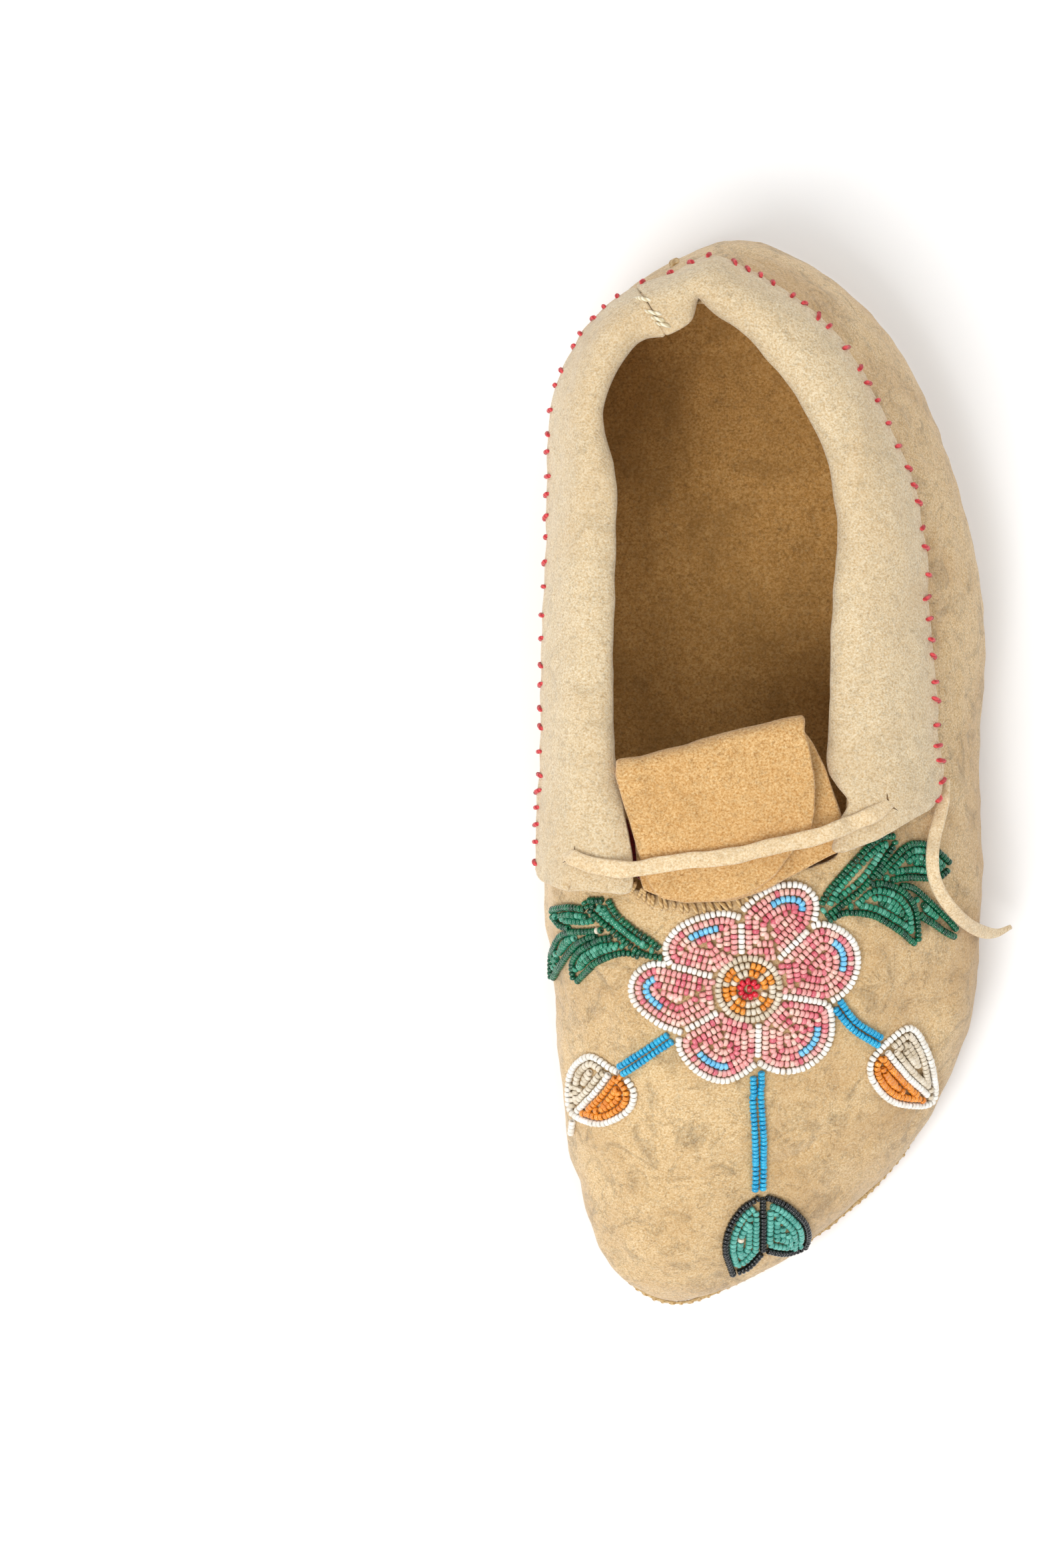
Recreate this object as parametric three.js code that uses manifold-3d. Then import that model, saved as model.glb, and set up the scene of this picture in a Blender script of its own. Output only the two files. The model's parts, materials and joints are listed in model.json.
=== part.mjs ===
// Beaded buckskin moccasin for the left foot: turned-up soft sole, one-piece upper, folded cuffs,
// folded tongue, thong and seed-bead flower. Millimetres, +Z up, toe towards -Y, outer side +X.
import * as THREE from 'three';
import { mergeVertices } from 'three/addons/utils/BufferGeometryUtils.js';
import Module from 'manifold-3d';

const wasm = await Module();
wasm.setup();

// Driving dimensions
const upperThickness = 2;
const cuffThickness = 1.8;
const tongueThickness = 1.7;
const clothThickness = 0.9;
const soleThickness = 2.4;
const soleEdgeHeight = 4.1;
const seamHeight = 5.2;
const seamInset = 2.4;
const wallSwell = 3;
const rollRadius = 3.7;
const beadHeight = 1.6;
const clearance = 0.35;
const thongWidth = 4;
const thongThickness = 1.6;
const tailWidth = 3.2;
const edgeThreadRadius = 0.35;
const stationsAround = 84;
const rowsUp = 12;

// Leather, thread and glass colours
const tanSuede = { color: 0xcdb48c, roughness: 0.95 };
const creamSuede = { color: 0xe1cda5, roughness: 0.95 };
const goldSuede = { color: 0xd7b982, roughness: 0.95 };
const soleSuede = { color: 0x8a6a42, roughness: 0.95 };
const thongLeather = { color: 0xdcc39a, roughness: 0.9 };
const redCloth = { color: 0x6a1018, roughness: 0.9 };
const redThread = { color: 0xd73c41, roughness: 0.7 };
const creamThread = { color: 0xe6dcc0, roughness: 0.8 };
const brownThread = { color: 0x6b5232, roughness: 0.85 };

// Each station around the shoe: outline x, y, then the top edge of the upper x, y, z
const stations = [
  [-5, 131, -12, 113, 64], [-20, 125.5, -22, 111.5, 64], [-32, 118, -31.5, 109.5, 63.5],
  [-40, 107.5, -37.5, 103, 63], [-45, 92, -42, 92, 62.5], [-47, 72, -42, 72, 62],
  [-48.3, 48, -42, 46, 62], [-49.5, 24, -42, 22, 62], [-51, 2, -42, 2, 62],
  [-52.2, -18, -42, -13, 62], [-52.2, -32, -41, -22, 61.2], [-50.2, -50, -36, -25.5, 59.5],
  [-47.5, -72, -31, -26.8, 59], [-45, -94, -26, -28.2, 58.8], [-40.5, -112, -21.5, -29.2, 58.8],
  [-33, -124.5, -18, -29.6, 58.8], [-21, -131, -14.5, -29.4, 58.8], [-6, -125.8, -10, -28.4, 58.8],
  [10, -117, -4, -26.4, 58.8], [24, -106.3, 2, -24, 58.8], [36, -94, 7, -21.8, 59],
  [45, -77.5, 11.5, -20.2, 59.3], [51, -62, 15, -18.9, 59.8], [53, -45, 17.8, -16, 60.6],
  [54, -25, 18.6, -9, 61.6], [53.5, -8, 19, 0, 62], [53.3, 8, 19.6, 12, 62],
  [54.5, 26, 20.3, 28, 62], [54.3, 40, 20.9, 43, 62], [51.5, 57, 21.5, 57, 62],
  [46.9, 73, 20.5, 71, 62], [42, 87, 16.5, 84, 62.5], [35, 102, 10, 95.5, 63],
  [25, 114.5, 3, 104, 63.5], [11, 125, -4, 110.5, 64],
];

// Each cuff section: fold centre x, y, z, free edge x, y, z, and how far the inner side reaches
const medialCornerCuff = [
  [-42, -26.5, 62, -55, -24.5, 47, 9.6], [-42, -16, 62, -54.6, -15, 47, 7.6],
  [-42, -4, 62, -54.2, -4, 46.5, 5],
];
const medialSideCuff = [
  [-42, -3.6, 62, -54.2, -3.6, 46.5, 5], [-42, 20, 62, -53.2, 20, 46, 4],
  [-42, 42, 62, -52.4, 42, 46, 3.7], [-42, 62, 62, -51.9, 62, 46, 3.7],
];
const medialHeelCuff = [
  [-42, 62.4, 62, -51.9, 62.4, 46, 3.7], [-42, 76, 62.2, -51.3, 77, 46.5, 3.7],
  [-42, 91, 62.5, -49.4, 94, 47.5, 3.7], [-38.2, 102, 63, -44.9, 104.5, 49, 3.7],
  [-33, 108.3, 63.5, -37.5, 112.5, 51, 3.7], [-27, 111.2, 63.8, -28.3, 118, 53, 3.7],
];
const lateralCornerCuff = [
  [18.6, -16.5, 62, 39, -7.6, 51.5, 3.7], [18.9, -8, 62, 41.8, -4.2, 50.2, 3.7],
  [19.2, 0, 62, 42, -0.9, 50, 3.7],
];
const lateralSideCuff = [
  [19.2, 0.4, 62, 42, -0.5, 50, 3.7], [19.7, 12, 62, 41.1, 11.2, 50, 3.7],
  [20.3, 28, 62, 39.7, 27.3, 50, 3.7], [20.9, 43, 62, 38.6, 42.3, 50, 3.7],
  [21.5, 57, 62, 37.8, 56.3, 50.5, 3.7],
];
const lateralHeelCuff = [
  [21.5, 57.4, 62, 37.8, 56.7, 50.5, 3.7], [20.5, 71, 62, 34.3, 71.4, 52.6, 3.7],
  [16.5, 84, 62.5, 27.2, 86.5, 54.2, 3.7], [10, 95.5, 63, 19.6, 101, 55.4, 3.7],
  [3, 104, 63.5, 9.8, 111.6, 56, 3.7], [-4, 110.5, 64, -1.2, 118.8, 56, 3.7],
  [-13, 113.4, 64, -13, 123.6, 55.4, 3.7], [-23.5, 111.8, 64, -23, 120, 54.5, 3.7],
];

// Beadwork outlines on the vamp, seen from above
const petals = {
  petal_top: [[-5.9, -46], [-5.9, -33.6], [-2.1, -29.3], [2, -27.2], [5.7, -26.4], [9, -26.8],
    [11.5, -29.4], [11.5, -33], [10, -35.6], [1.5, -44.8]],
  petal_upper_medial: [[-6.6, -44.4], [-6.8, -33], [-9.8, -32.5], [-13.4, -32.9], [-17.5, -34.1],
    [-21.1, -36.2], [-23.3, -38.7], [-23.9, -41.3], [-22.6, -44.4], [-12.3, -48]],
  petal_lower_medial: [[-12.6, -48.8], [-22.6, -45.3], [-25.9, -44.8], [-29.2, -45.7], [-31.2, -48],
    [-31.8, -50.8], [-30.7, -54.2], [-27.7, -57.1], [-24.1, -59.1], [-20.4, -60.2], [-11.4, -55.2]],
  petal_bottom_medial: [[-10.9, -56.2], [-19.5, -61.2], [-20.4, -63.7], [-19.3, -67], [-16.7, -69.9],
    [-13.1, -72.1], [-9.4, -72.7], [-5.4, -71], [-2.4, -68.3], [-2.2, -57.9]],
  petal_bottom_lateral: [[-1.3, -57.7], [-1.3, -68.2], [1.6, -69.9], [5.7, -70.5], [10.1, -69.2],
    [13.7, -66.3], [15.6, -62.6], [15.9, -58.2], [14.5, -54.7], [3.9, -52.3]],
  petal_upper_lateral: [[4.1, -51.4], [14.4, -53.5], [18.1, -51.6], [20.7, -48.6], [21.8, -44.2],
    [21.1, -40.2], [18.9, -37.3], [15.2, -35.6], [11.2, -36.2], [3.3, -43.4]],
};
const flowerCentre = { x: -4.1, y: -50.4, radius: 6.8 };
const stems = {
  stem_toe: { from: [-1.5, -73.4], to: [-0.6, -100.4], color: 0x1e8cc8 },
  stem_medial: { from: [-21.8, -63.6], to: [-32.6, -69.4], color: 0x1e8cc8 },
  stem_lateral: { from: [17.4, -54.8], to: [26.4, -63], color: 0x1e8cc8 },
};
const stemWidth = 3.4;
const leaves = {
  bud_medial_crystal: [0xd2c3af, [[-41.3, -67.1], [-45.5, -70.8], [-46.3, -76.4], [-45.5, -81.9],
    [-45, -82.2], [-36, -71.6], [-36.2, -70.1]]],
  bud_medial_orange: [0xe18c32, [[-35, -71.4], [-44.2, -82.6], [-38.5, -83.7], [-32.3, -80], [-31.1, -75.4],
    [-33.2, -71.2]]],
  bud_lateral_crystal: [0xd2c3af, [[29.6, -63.6], [34.8, -60.3], [40.3, -68.2], [41.3, -75.6],
    [40.8, -78]]],
  bud_lateral_orange: [0xe18c32, [[28.4, -64.4], [39.8, -79], [36.6, -79.3], [30.2, -77.9],
    [26, -72.9], [25.5, -68.2]]],
  toe_leaf_medial: [0x3c9687, [[-1.1, -101.6], [-5.6, -105.2], [-8.4, -109.7], [-8.9, -115.4], [-6.9, -120.6],
    [-2.9, -118.8], [-0.9, -115.6]]],
  toe_leaf_lateral: [0x3c9687, [[0.1, -101.6], [5.6, -103.9], [10.3, -107.9], [11.6, -112.6],
    [11.1, -114.9], [6.6, -116.2], [0.3, -115.4]]],
  green_leaf_lateral: [0x14785a, [
    [12.4, -34], [17.2, -24.7], [26, -16], [30.7, -14.4], [31.6, -17], [40.4, -16.5],
    [45.4, -22], [42.6, -24], [46, -36.7], [45, -38.2], [40.4, -35.1], [38, -34.3], [36.7, -39.9],
    [34.3, -38.8], [31.6, -34.3], [22.8, -31.9]]],
  green_leaf_medial: [0x14785a, [[-24.4, -43], [-33.2, -36.7], [-37.5, -30], [-43.5, -30], [-43.2, -31.5],
    [-48.8, -32], [-49, -37.5], [-48.6, -48.4], [-44.4, -49.7], [-39.6, -43.1], [-30, -43.9]]],
};

const shoe = new THREE.Group();

// Adds one closed body under its own name, turned so that its faces point outwards
function addPart(name, geometry, look) {
  const clean = mergeVertices(bare(geometry), 1e-4);
  if (volumeOf(clean) < 0) {
    flip(clean);
  }
  clean.computeVertexNormals();
  const mesh = new THREE.Mesh(clean, new THREE.MeshStandardMaterial({ metalness: 0, ...look }));
  mesh.name = name;
  shoe.add(mesh);
  return mesh;
}

function bare(geometry) {
  const copy = geometry.clone();
  copy.deleteAttribute('normal');
  copy.deleteAttribute('uv');
  return copy;
}

function volumeOf(geometry) {
  const p = geometry.getAttribute('position');
  const index = geometry.index;
  const a = new THREE.Vector3();
  const b = new THREE.Vector3();
  const c = new THREE.Vector3();
  let sum = 0;
  for (let i = 0; i < index.count; i += 3) {
    a.fromBufferAttribute(p, index.getX(i));
    b.fromBufferAttribute(p, index.getX(i + 1));
    c.fromBufferAttribute(p, index.getX(i + 2));
    sum += a.dot(b.cross(c)) / 6;
  }
  return sum;
}

function flip(geometry) {
  const index = geometry.index;
  for (let i = 0; i < index.count; i += 3) {
    const keep = index.getX(i + 1);
    index.setX(i + 1, index.getX(i + 2));
    index.setX(i + 2, keep);
  }
}

function fromPoints(points, faces) {
  const geometry = new THREE.BufferGeometry();
  const coordinates = points.flatMap((p) => [p.x, p.y, p.z]);
  geometry.setAttribute('position', new THREE.Float32BufferAttribute(coordinates, 3));
  geometry.setIndex(faces);
  return geometry;
}

// Unit normals of a grid of points, by central differences
function gridNormals(grid, closed) {
  const rows = grid.length;
  const columns = grid[0].length;
  return grid.map((row, i) => row.map((point, j) => {
    const before = closed ? (i + rows - 1) % rows : Math.max(i - 1, 0);
    const after = closed ? (i + 1) % rows : Math.min(i + 1, rows - 1);
    const along = grid[after][j].clone().sub(grid[before][j]);
    const across = row[Math.min(j + 1, columns - 1)].clone().sub(row[Math.max(j - 1, 0)]);
    return along.cross(across).normalize();
  }));
}

// A sheet of even thickness around a grid of points; closed joins the last row to the first
function sheet(grid, thickness, closed = false, lift = 0) {
  const rows = grid.length;
  const columns = grid[0].length;
  const normals = gridNormals(grid, closed);
  const shell = (offset) => grid.flatMap((row, i) => row.map((p, j) => (
    p.clone().addScaledVector(normals[i][j], offset))));
  const points = [...shell(lift + thickness / 2), ...shell(lift - thickness / 2)];
  const under = rows * columns;
  const faces = [];
  const quad = (a, b, c, d) => faces.push(a, b, c, a, c, d);
  const last = closed ? rows : rows - 1;
  for (let i = 0; i < last; i += 1) {
    const near = i * columns;
    const far = ((i + 1) % rows) * columns;
    for (let j = 0; j < columns - 1; j += 1) {
      quad(near + j, far + j, far + j + 1, near + j + 1);
      quad(under + near + j, under + near + j + 1, under + far + j + 1, under + far + j);
    }
    const end = columns - 1;
    quad(near, under + near, under + far, far);
    quad(near + end, far + end, under + far + end, under + near + end);
  }
  if (!closed) {
    const top = (rows - 1) * columns;
    for (let j = 0; j < columns - 1; j += 1) {
      quad(j, j + 1, under + j + 1, under + j);
      quad(top + j, under + top + j, under + top + j + 1, top + j + 1);
    }
  }
  return fromPoints(points, faces);
}

function toManifold(geometry) {
  const clean = mergeVertices(bare(geometry), 1e-4);
  if (volumeOf(clean) < 0) {
    flip(clean);
  }
  const vertProperties = new Float32Array(clean.getAttribute('position').array);
  const triVerts = new Uint32Array(clean.index.array);
  return new wasm.Manifold(new wasm.Mesh({ numProp: 3, vertProperties, triVerts }));
}

function fromManifold(solid) {
  const mesh = solid.getMesh();
  const geometry = new THREE.BufferGeometry();
  geometry.setAttribute('position', new THREE.Float32BufferAttribute(mesh.vertProperties, 3));
  geometry.setIndex([...mesh.triVerts]);
  return geometry;
}

const vector = ([x, y, z]) => new THREE.Vector3(x, y, z);

// A rope or strap along a curve: width lies flat, thickness stands up
function strap(points, width, thickness, steps, sides = 10) {
  const curve = new THREE.CatmullRomCurve3(points.map(vector));
  const rings = [];
  for (let i = 0; i <= steps; i += 1) {
    const centre = curve.getPointAt(i / steps);
    const along = curve.getTangentAt(i / steps);
    const side = new THREE.Vector3(0, 0, 1).cross(along).normalize();
    const up = along.clone().cross(side);
    const ring = [];
    for (let j = 0; j < sides; j += 1) {
      const angle = (j / sides) * Math.PI * 2;
      ring.push(centre.clone()
        .addScaledVector(side, (Math.cos(angle) * width) / 2)
        .addScaledVector(up, (Math.sin(angle) * thickness) / 2));
    }
    rings.push(ring);
  }
  return lofted(rings, false);
}

// Closed rings of points joined in order; open lofts get flat ends
function lofted(rings, closed) {
  const sides = rings[0].length;
  const points = rings.flat();
  const faces = [];
  const last = closed ? rings.length : rings.length - 1;
  for (let i = 0; i < last; i += 1) {
    const near = i * sides;
    const far = ((i + 1) % rings.length) * sides;
    for (let j = 0; j < sides; j += 1) {
      const next = (j + 1) % sides;
      faces.push(near + j, far + j, far + next, near + j, far + next, near + next);
    }
  }
  if (!closed) {
    const end = (rings.length - 1) * sides;
    for (let j = 1; j < sides - 1; j += 1) {
      faces.push(0, j, j + 1, end, end + j + 1, end + j);
    }
  }
  return fromPoints(points, faces);
}

// Smooth closed outline and rim, sampled evenly by station
const outlineCurve = new THREE.CatmullRomCurve3(stations.map(([x, y]) => new THREE.Vector3(x, y, 0)), true);
const rimPoints = stations.map(([, , x, y, z]) => new THREE.Vector3(x, y, z));
const rimCurve = new THREE.CatmullRomCurve3(rimPoints, true);

function outlineAt(share) {
  const point = outlineCurve.getPoint(share);
  const along = outlineCurve.getTangent(share);
  const outward = new THREE.Vector3(along.y, -along.x, 0).normalize();
  return { point, outward };
}

function insetAt(share, inset, height) {
  const { point, outward } = outlineAt(share);
  return point.clone().addScaledVector(outward, -inset).setZ(height);
}

// One cross-section of the upper, from the sole seam up and over to its top edge
function upperSection(share) {
  const { point, outward } = outlineAt(share);
  const rim = rimCurve.getPoint(share);
  const inward = rim.clone().sub(point).setZ(0);
  const reach = inward.length();
  const vamp = THREE.MathUtils.smoothstep(reach, 35, 95);
  const swell = wallSwell + 0.12 * Math.min(reach, 35);
  const foot = insetAt(share, seamInset, seamHeight);
  const side = point.clone().addScaledVector(outward, swell).setZ(seamHeight + 22 - 9 * vamp);
  const crown = point.clone().addScaledVector(inward, 0.5 - 0.12 * vamp).setZ(rim.z - 13 + 3 * vamp);
  const curve = new THREE.CubicBezierCurve3(foot, side, crown, rim.clone().setZ(rim.z - 0.6));
  return curve.getSpacedPoints(rowsUp);
}

const upperGrid = Array.from({ length: stationsAround }, (_, i) => upperSection(i / stationsAround));

// Sole: flat bottom, edge turned up to the seam
function addSole() {
  const rings = [[4.6, 0], [2.2, 1.3], [1.4, 2.6], [1.3, soleEdgeHeight], [3.4, soleEdgeHeight], [5.2, soleThickness]]
    .map(([inset, height]) => Array.from({ length: stationsAround }, (_, i) => (
      insetAt(i / stationsAround, inset, height))));
  const points = rings.flat();
  const faces = [];
  for (let r = 0; r < rings.length - 1; r += 1) {
    for (let i = 0; i < stationsAround; i += 1) {
      const next = (i + 1) % stationsAround;
      const low = r * stationsAround;
      const high = low + stationsAround;
      faces.push(low + i, low + next, high + next, low + i, high + next, high + i);
    }
  }
  const cap = (ring, base, reverse) => {
    const flat = ring.map((p) => new THREE.Vector2(p.x, p.y));
    THREE.ShapeUtils.triangulateShape(flat, []).forEach(([a, b, c]) => {
      faces.push(base + a, base + (reverse ? c : b), base + (reverse ? b : c));
    });
  };
  cap(rings[0], 0, true);
  cap(rings[rings.length - 1], (rings.length - 1) * stationsAround, false);
  addPart('sole', fromPoints(points, faces), soleSuede);
}

// Piping of the inside-out seam, all round between sole and upper
function addSoleSeam() {
  const radius = 0.55;
  const rings = Array.from({ length: stationsAround }, (_, i) => {
    const share = i / stationsAround;
    const { outward } = outlineAt(share);
    const centre = insetAt(share, radius, seamHeight - 0.3);
    return Array.from({ length: 6 }, (_unused, j) => {
      const angle = (j / 6) * Math.PI * 2;
      return centre.clone().addScaledVector(outward, Math.cos(angle) * radius)
        .add(new THREE.Vector3(0, 0, Math.sin(angle) * radius));
    });
  });
  addPart('sole_seam', lofted(rings, true), brownThread);
}

// One cross-section of a cuff: inner side, over the fold, out and down to the free edge
function cuffSection([cx, cy, cz, fx, fy, fz, inner]) {
  const centre = new THREE.Vector3(cx, cy, cz);
  const free = new THREE.Vector3(fx, fy, fz);
  const outward = free.clone().sub(centre).setZ(0).normalize();
  const up = new THREE.Vector3(0, 0, 1);
  const top = centre.clone().addScaledVector(up, rollRadius);
  const flat = THREE.MathUtils.smoothstep(inner, rollRadius, rollRadius + 4);
  const tip = centre.clone().addScaledVector(outward, -inner).addScaledVector(up, flat * rollRadius * 0.75);
  const inside = new THREE.CubicBezierCurve3(
    tip,
    tip.clone().addScaledVector(up, 0.55 * rollRadius * (1 - flat)),
    top.clone().addScaledVector(outward, -0.55 * inner),
    top,
  );
  const reach = free.clone().sub(centre).setZ(0).length();
  const outside = new THREE.CubicBezierCurve3(
    top,
    top.clone().addScaledVector(outward, 0.5 * reach),
    free.clone().addScaledVector(outward, -0.16 * reach).add(new THREE.Vector3(0, 0, 0.45 * (top.z - fz))),
    free,
  );
  return [...inside.getPoints(5), ...outside.getPoints(9).slice(1)];
}

// Spreads the hand-set sections along the cuff
function cuffGrid(sections, steps) {
  const curveOf = (first) => new THREE.CatmullRomCurve3(
    sections.map((s) => new THREE.Vector3(s[first], s[first + 1], s[first + 2])));
  const folds = curveOf(0);
  const edges = curveOf(3);
  return Array.from({ length: steps + 1 }, (_, i) => {
    const share = i / steps;
    const place = share * (sections.length - 1);
    const low = Math.min(Math.floor(place), sections.length - 2);
    const inner = THREE.MathUtils.lerp(sections[low][6], sections[low + 1][6], place - low);
    return cuffSection([...folds.getPoint(share).toArray(), ...edges.getPoint(share).toArray(), inner]);
  });
}

// A thread that whips the free edge of a cuff
function addEdgeThread(name, grid) {
  const ends = grid.map((row) => {
    const edge = row[row.length - 1];
    const step = edge.clone().sub(row[row.length - 2]).normalize();
    return edge.clone().addScaledVector(step, edgeThreadRadius + clearance).toArray();
  });
  const thick = 2 * edgeThreadRadius;
  addPart(name, strap(ends.slice(1, -1), thick, thick, 2 * ends.length, 6), redThread);
}

// Where the outer cuff is cut away at its front, clear of the tongue
const cornerCutout = [[10, -0.8], [15, -0.8], [20.8, -7], [19.4, -12], [17.6, -15.5], [12, -24], [8, -10]];

function prism(outline, low, high) {
  const shape = new THREE.Shape(outline.map(([x, y]) => new THREE.Vector2(x, y)));
  const geometry = new THREE.ExtrudeGeometry(shape, { depth: high - low, bevelEnabled: false });
  return geometry.translate(0, 0, low);
}

function addCuffs() {
  const strips = {
    medial_corner: cuffGrid(medialCornerCuff, 6),
    medial_side: cuffGrid(medialSideCuff, 12),
    medial_heel: cuffGrid(medialHeelCuff, 14),
    lateral_corner: cuffGrid(lateralCornerCuff, 6),
    lateral_side: cuffGrid(lateralSideCuff, 12),
    lateral_heel: cuffGrid(lateralHeelCuff, 20),
  };
  Object.entries(strips).forEach(([place, grid]) => {
    let strip = sheet(grid, cuffThickness);
    if (place === 'lateral_corner') {
      strip = fromManifold(toManifold(strip).subtract(toManifold(prism(cornerCutout, 50, 80))));
    }
    addPart(`cuff_${place}`, strip, creamSuede);
    addEdgeThread(`edge_thread_${place}`, grid);
  });
}

// Whip stitches that join the two cuffs at the back
function addCuffBackThread() {
  const y = [119.2, 117, 115, 113];
  const path = y.map((place, i) => [i % 2 ? -23.8 : -27.4, place, 64.2 + 3.2 * Math.sin((120 - place) / 5.4)]);
  addPart('cuff_back_thread', strap(path, 0.7, 0.7, 24, 6), creamThread);
}

// Tongue: sewn in at the throat, runs back, folds over and comes forward to a round end
const tongueLowerFront = [
  [-31.5, -21.4, 61.6], [-20, -26, 61.6], [-5, -23.6, 61.6], [8, -17.6, 61.6], [14.6, -13, 61.6],
];
const tongueFold = [
  [-35.6, 2.4, 67.2], [-20, 6, 67.6], [-5, 9.8, 67.6], [2, 11.6, 67.4], [8.2, 12.8, 67],
];
const tongueEnd = [
  [-29.5, -22.5, 64.8], [-22.5, -28.9, 63.4], [-12, -28.6, 63.4], [-1, -24.6, 63.8], [9.4, -13.5, 65],
];
const tongueUpperMiddle = [
  [-34, -9.5, 68.2], [-21, -10.5, 70], [-7, -8, 70.2], [4.5, -4, 69.6], [11.6, -3.5, 68.4],
];

function addTongue() {
  const across = 16;
  const lines = [tongueLowerFront, tongueFold, tongueUpperMiddle, tongueEnd]
    .map((line) => new THREE.CatmullRomCurve3(line.map(vector)));
  const foldRadius = 3;
  const grid = Array.from({ length: across + 1 }, (_, i) => {
    const share = i / across;
    const [start, fold, middle, end] = lines.map((line) => line.getPoint(share));
    const lower = new THREE.QuadraticBezierCurve3(
      start,
      start.clone().lerp(fold, 0.6).setZ(start.z + 0.4),
      fold.clone().add(new THREE.Vector3(0, -2, -foldRadius)),
    );
    const bend = [-60, -30, 0, 30, 60].map((degrees) => {
      const angle = THREE.MathUtils.degToRad(degrees);
      return fold.clone().add(new THREE.Vector3(0, -2 + 3 * Math.cos(angle), foldRadius * Math.sin(angle)));
    });
    const upper = new THREE.QuadraticBezierCurve3(
      fold.clone().add(new THREE.Vector3(0, -2, foldRadius)),
      middle,
      end,
    );
    return [...lower.getPoints(7), ...bend, ...upper.getPoints(9)];
  });
  addPart('tongue', sheet(grid, tongueThickness), goldSuede);
}

// Dark red cloth that binds the throat under the tongue
function addThroatBinding() {
  const rows = [[-35, -16.5], [-30, -20.5], [-22, -23.6], [-12, -23], [-2, -19.8], [8, -15.8], [14, -12.5]];
  const front = new THREE.CatmullRomCurve3(rows.map(([x, y]) => new THREE.Vector3(x, y - 1.5, 58.9)));
  const back = new THREE.CatmullRomCurve3(rows.map(([x, y]) => new THREE.Vector3(x + 1, y + 5, 59.4)));
  const grid = Array.from({ length: 13 }, (_, i) => {
    const share = i / 12;
    return [0, 0.33, 0.66, 1].map((t) => front.getPoint(share).lerp(back.getPoint(share), t));
  });
  addPart('throat_binding', sheet(grid, clothThickness), redCloth);
}

// Overcast seam along the throat edge of the vamp
function addThroatThread() {
  const path = [
    [-32, -28.6, 60.2], [-26, -30.4, 60.2], [-16, -31.3, 60.2], [-8, -29.9, 60.2], [0, -26.6, 60.3],
    [5, -24.3, 60.4], [10, -22.3, 60.6], [14, -20.9, 60.9]];
  addPart('throat_thread', strap(path, 0.8, 0.8, 30, 6), brownThread);
}

function addHeelSeam() {
  const share = 1 / stations.length;
  const section = upperSection(share);
  const { outward } = outlineAt(share);
  const lift = upperThickness / 2 + 0.9;
  const path = section.slice(1, 9).map((p) => p.clone().addScaledVector(outward, lift).toArray());
  addPart('heel_seam', strap(path, 0.9, 0.9, 18, 6), brownThread);
}

// Thong: across the tongue in three runs, then the free tail beside the shoe
const thongMedial = [[-47.8, -17.9, 65.6], [-46, -19.2, 67.2], [-42.4, -20.6, 68.6], [-37.4, -21.6, 69.3]];
const thongMiddle = [[-37, -21.6, 69.3], [-31.5, -21.8, 69.8], [-25.9, -20.9, 70], [-19.3, -19.9, 70.2],
  [-8.4, -18.7, 70.3], [-1, -16.9, 70.2], [9.6, -14.6, 69.9], [16, -12.5, 69.6]];
const thongLateral = [[16.4, -12.4, 69.6], [20, -11, 69.2], [25.4, -8.6, 68.2], [30.4, -5.4, 66.2]];
const thongTail = [
  [43.4, -0.6, 44.2], [43.2, -5.4, 44.6], [41.9, -10.4, 46.2], [40.7, -14.8, 47.9],
  [40.1, -19.4, 50.2], [40.6, -24, 49.5], [42.6, -28.4, 47.1], [45.8, -32.4, 43.4],
  [49.6, -35.6, 36.8], [53.8, -37.6, 28.8], [57.6, -38, 22], [61, -36.8, 17],
];

function addThong() {
  addPart('thong_medial', strap(thongMedial, thongWidth, thongThickness, 12), thongLeather);
  addPart('thong_middle', strap(thongMiddle, thongWidth, thongThickness, 20), thongLeather);
  addPart('thong_lateral', strap(thongLateral, thongWidth, thongThickness, 12), thongLeather);
  addPart('thong_tail', strap(thongTail, tailWidth, thongThickness, 30, 8), thongLeather);
}

// Beadwork lies just above the vamp: a layer of even height cut to each outline
const beadLayerLift = upperThickness / 2 + clearance + beadHeight / 2;
const beadLayer = toManifold(sheet(upperGrid, beadHeight, true, beadLayerLift));

function addBeadwork(name, outline, color, hole) {
  let cut = beadLayer.intersect(toManifold(prism(outline, 12, 90)));
  if (hole) {
    cut = cut.subtract(toManifold(prism(hole, 10, 92)));
  }
  addPart(name, fromManifold(cut), { color, roughness: 0.3 });
}

function addFlower() {
  const { x, y, radius } = flowerCentre;
  const circle = (r) => Array.from({ length: 24 }, (_, i) => {
    const angle = (i / 24) * Math.PI * 2;
    return [x + r * Math.cos(angle), y + r * Math.sin(angle)];
  });
  Object.entries(petals).forEach(([name, outline]) => (
    addBeadwork(name, outline, 0xd2646e, circle(radius + clearance))));
  addBeadwork('flower_centre', circle(radius), 0xe18c32);
}

function addStemsAndLeaves() {
  Object.entries(stems).forEach(([name, { from, to, color }]) => {
    const along = new THREE.Vector2(to[0] - from[0], to[1] - from[1]).normalize();
    const [sx, sy] = [(-along.y * stemWidth) / 2, (along.x * stemWidth) / 2];
    const outline = [[from[0] + sx, from[1] + sy], [to[0] + sx, to[1] + sy], [to[0] - sx, to[1] - sy],
      [from[0] - sx, from[1] - sy]];
    addBeadwork(name, outline, color);
  });
  Object.entries(leaves).forEach(([name, [color, outline]]) => addBeadwork(name, outline, color));
}

addSole();
addSoleSeam();
addPart('upper', sheet(upperGrid, upperThickness, true), tanSuede);
addHeelSeam();
addCuffs();
addCuffBackThread();
addThroatBinding();
addThroatThread();
addTongue();
addThong();
addFlower();
addStemsAndLeaves();

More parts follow.
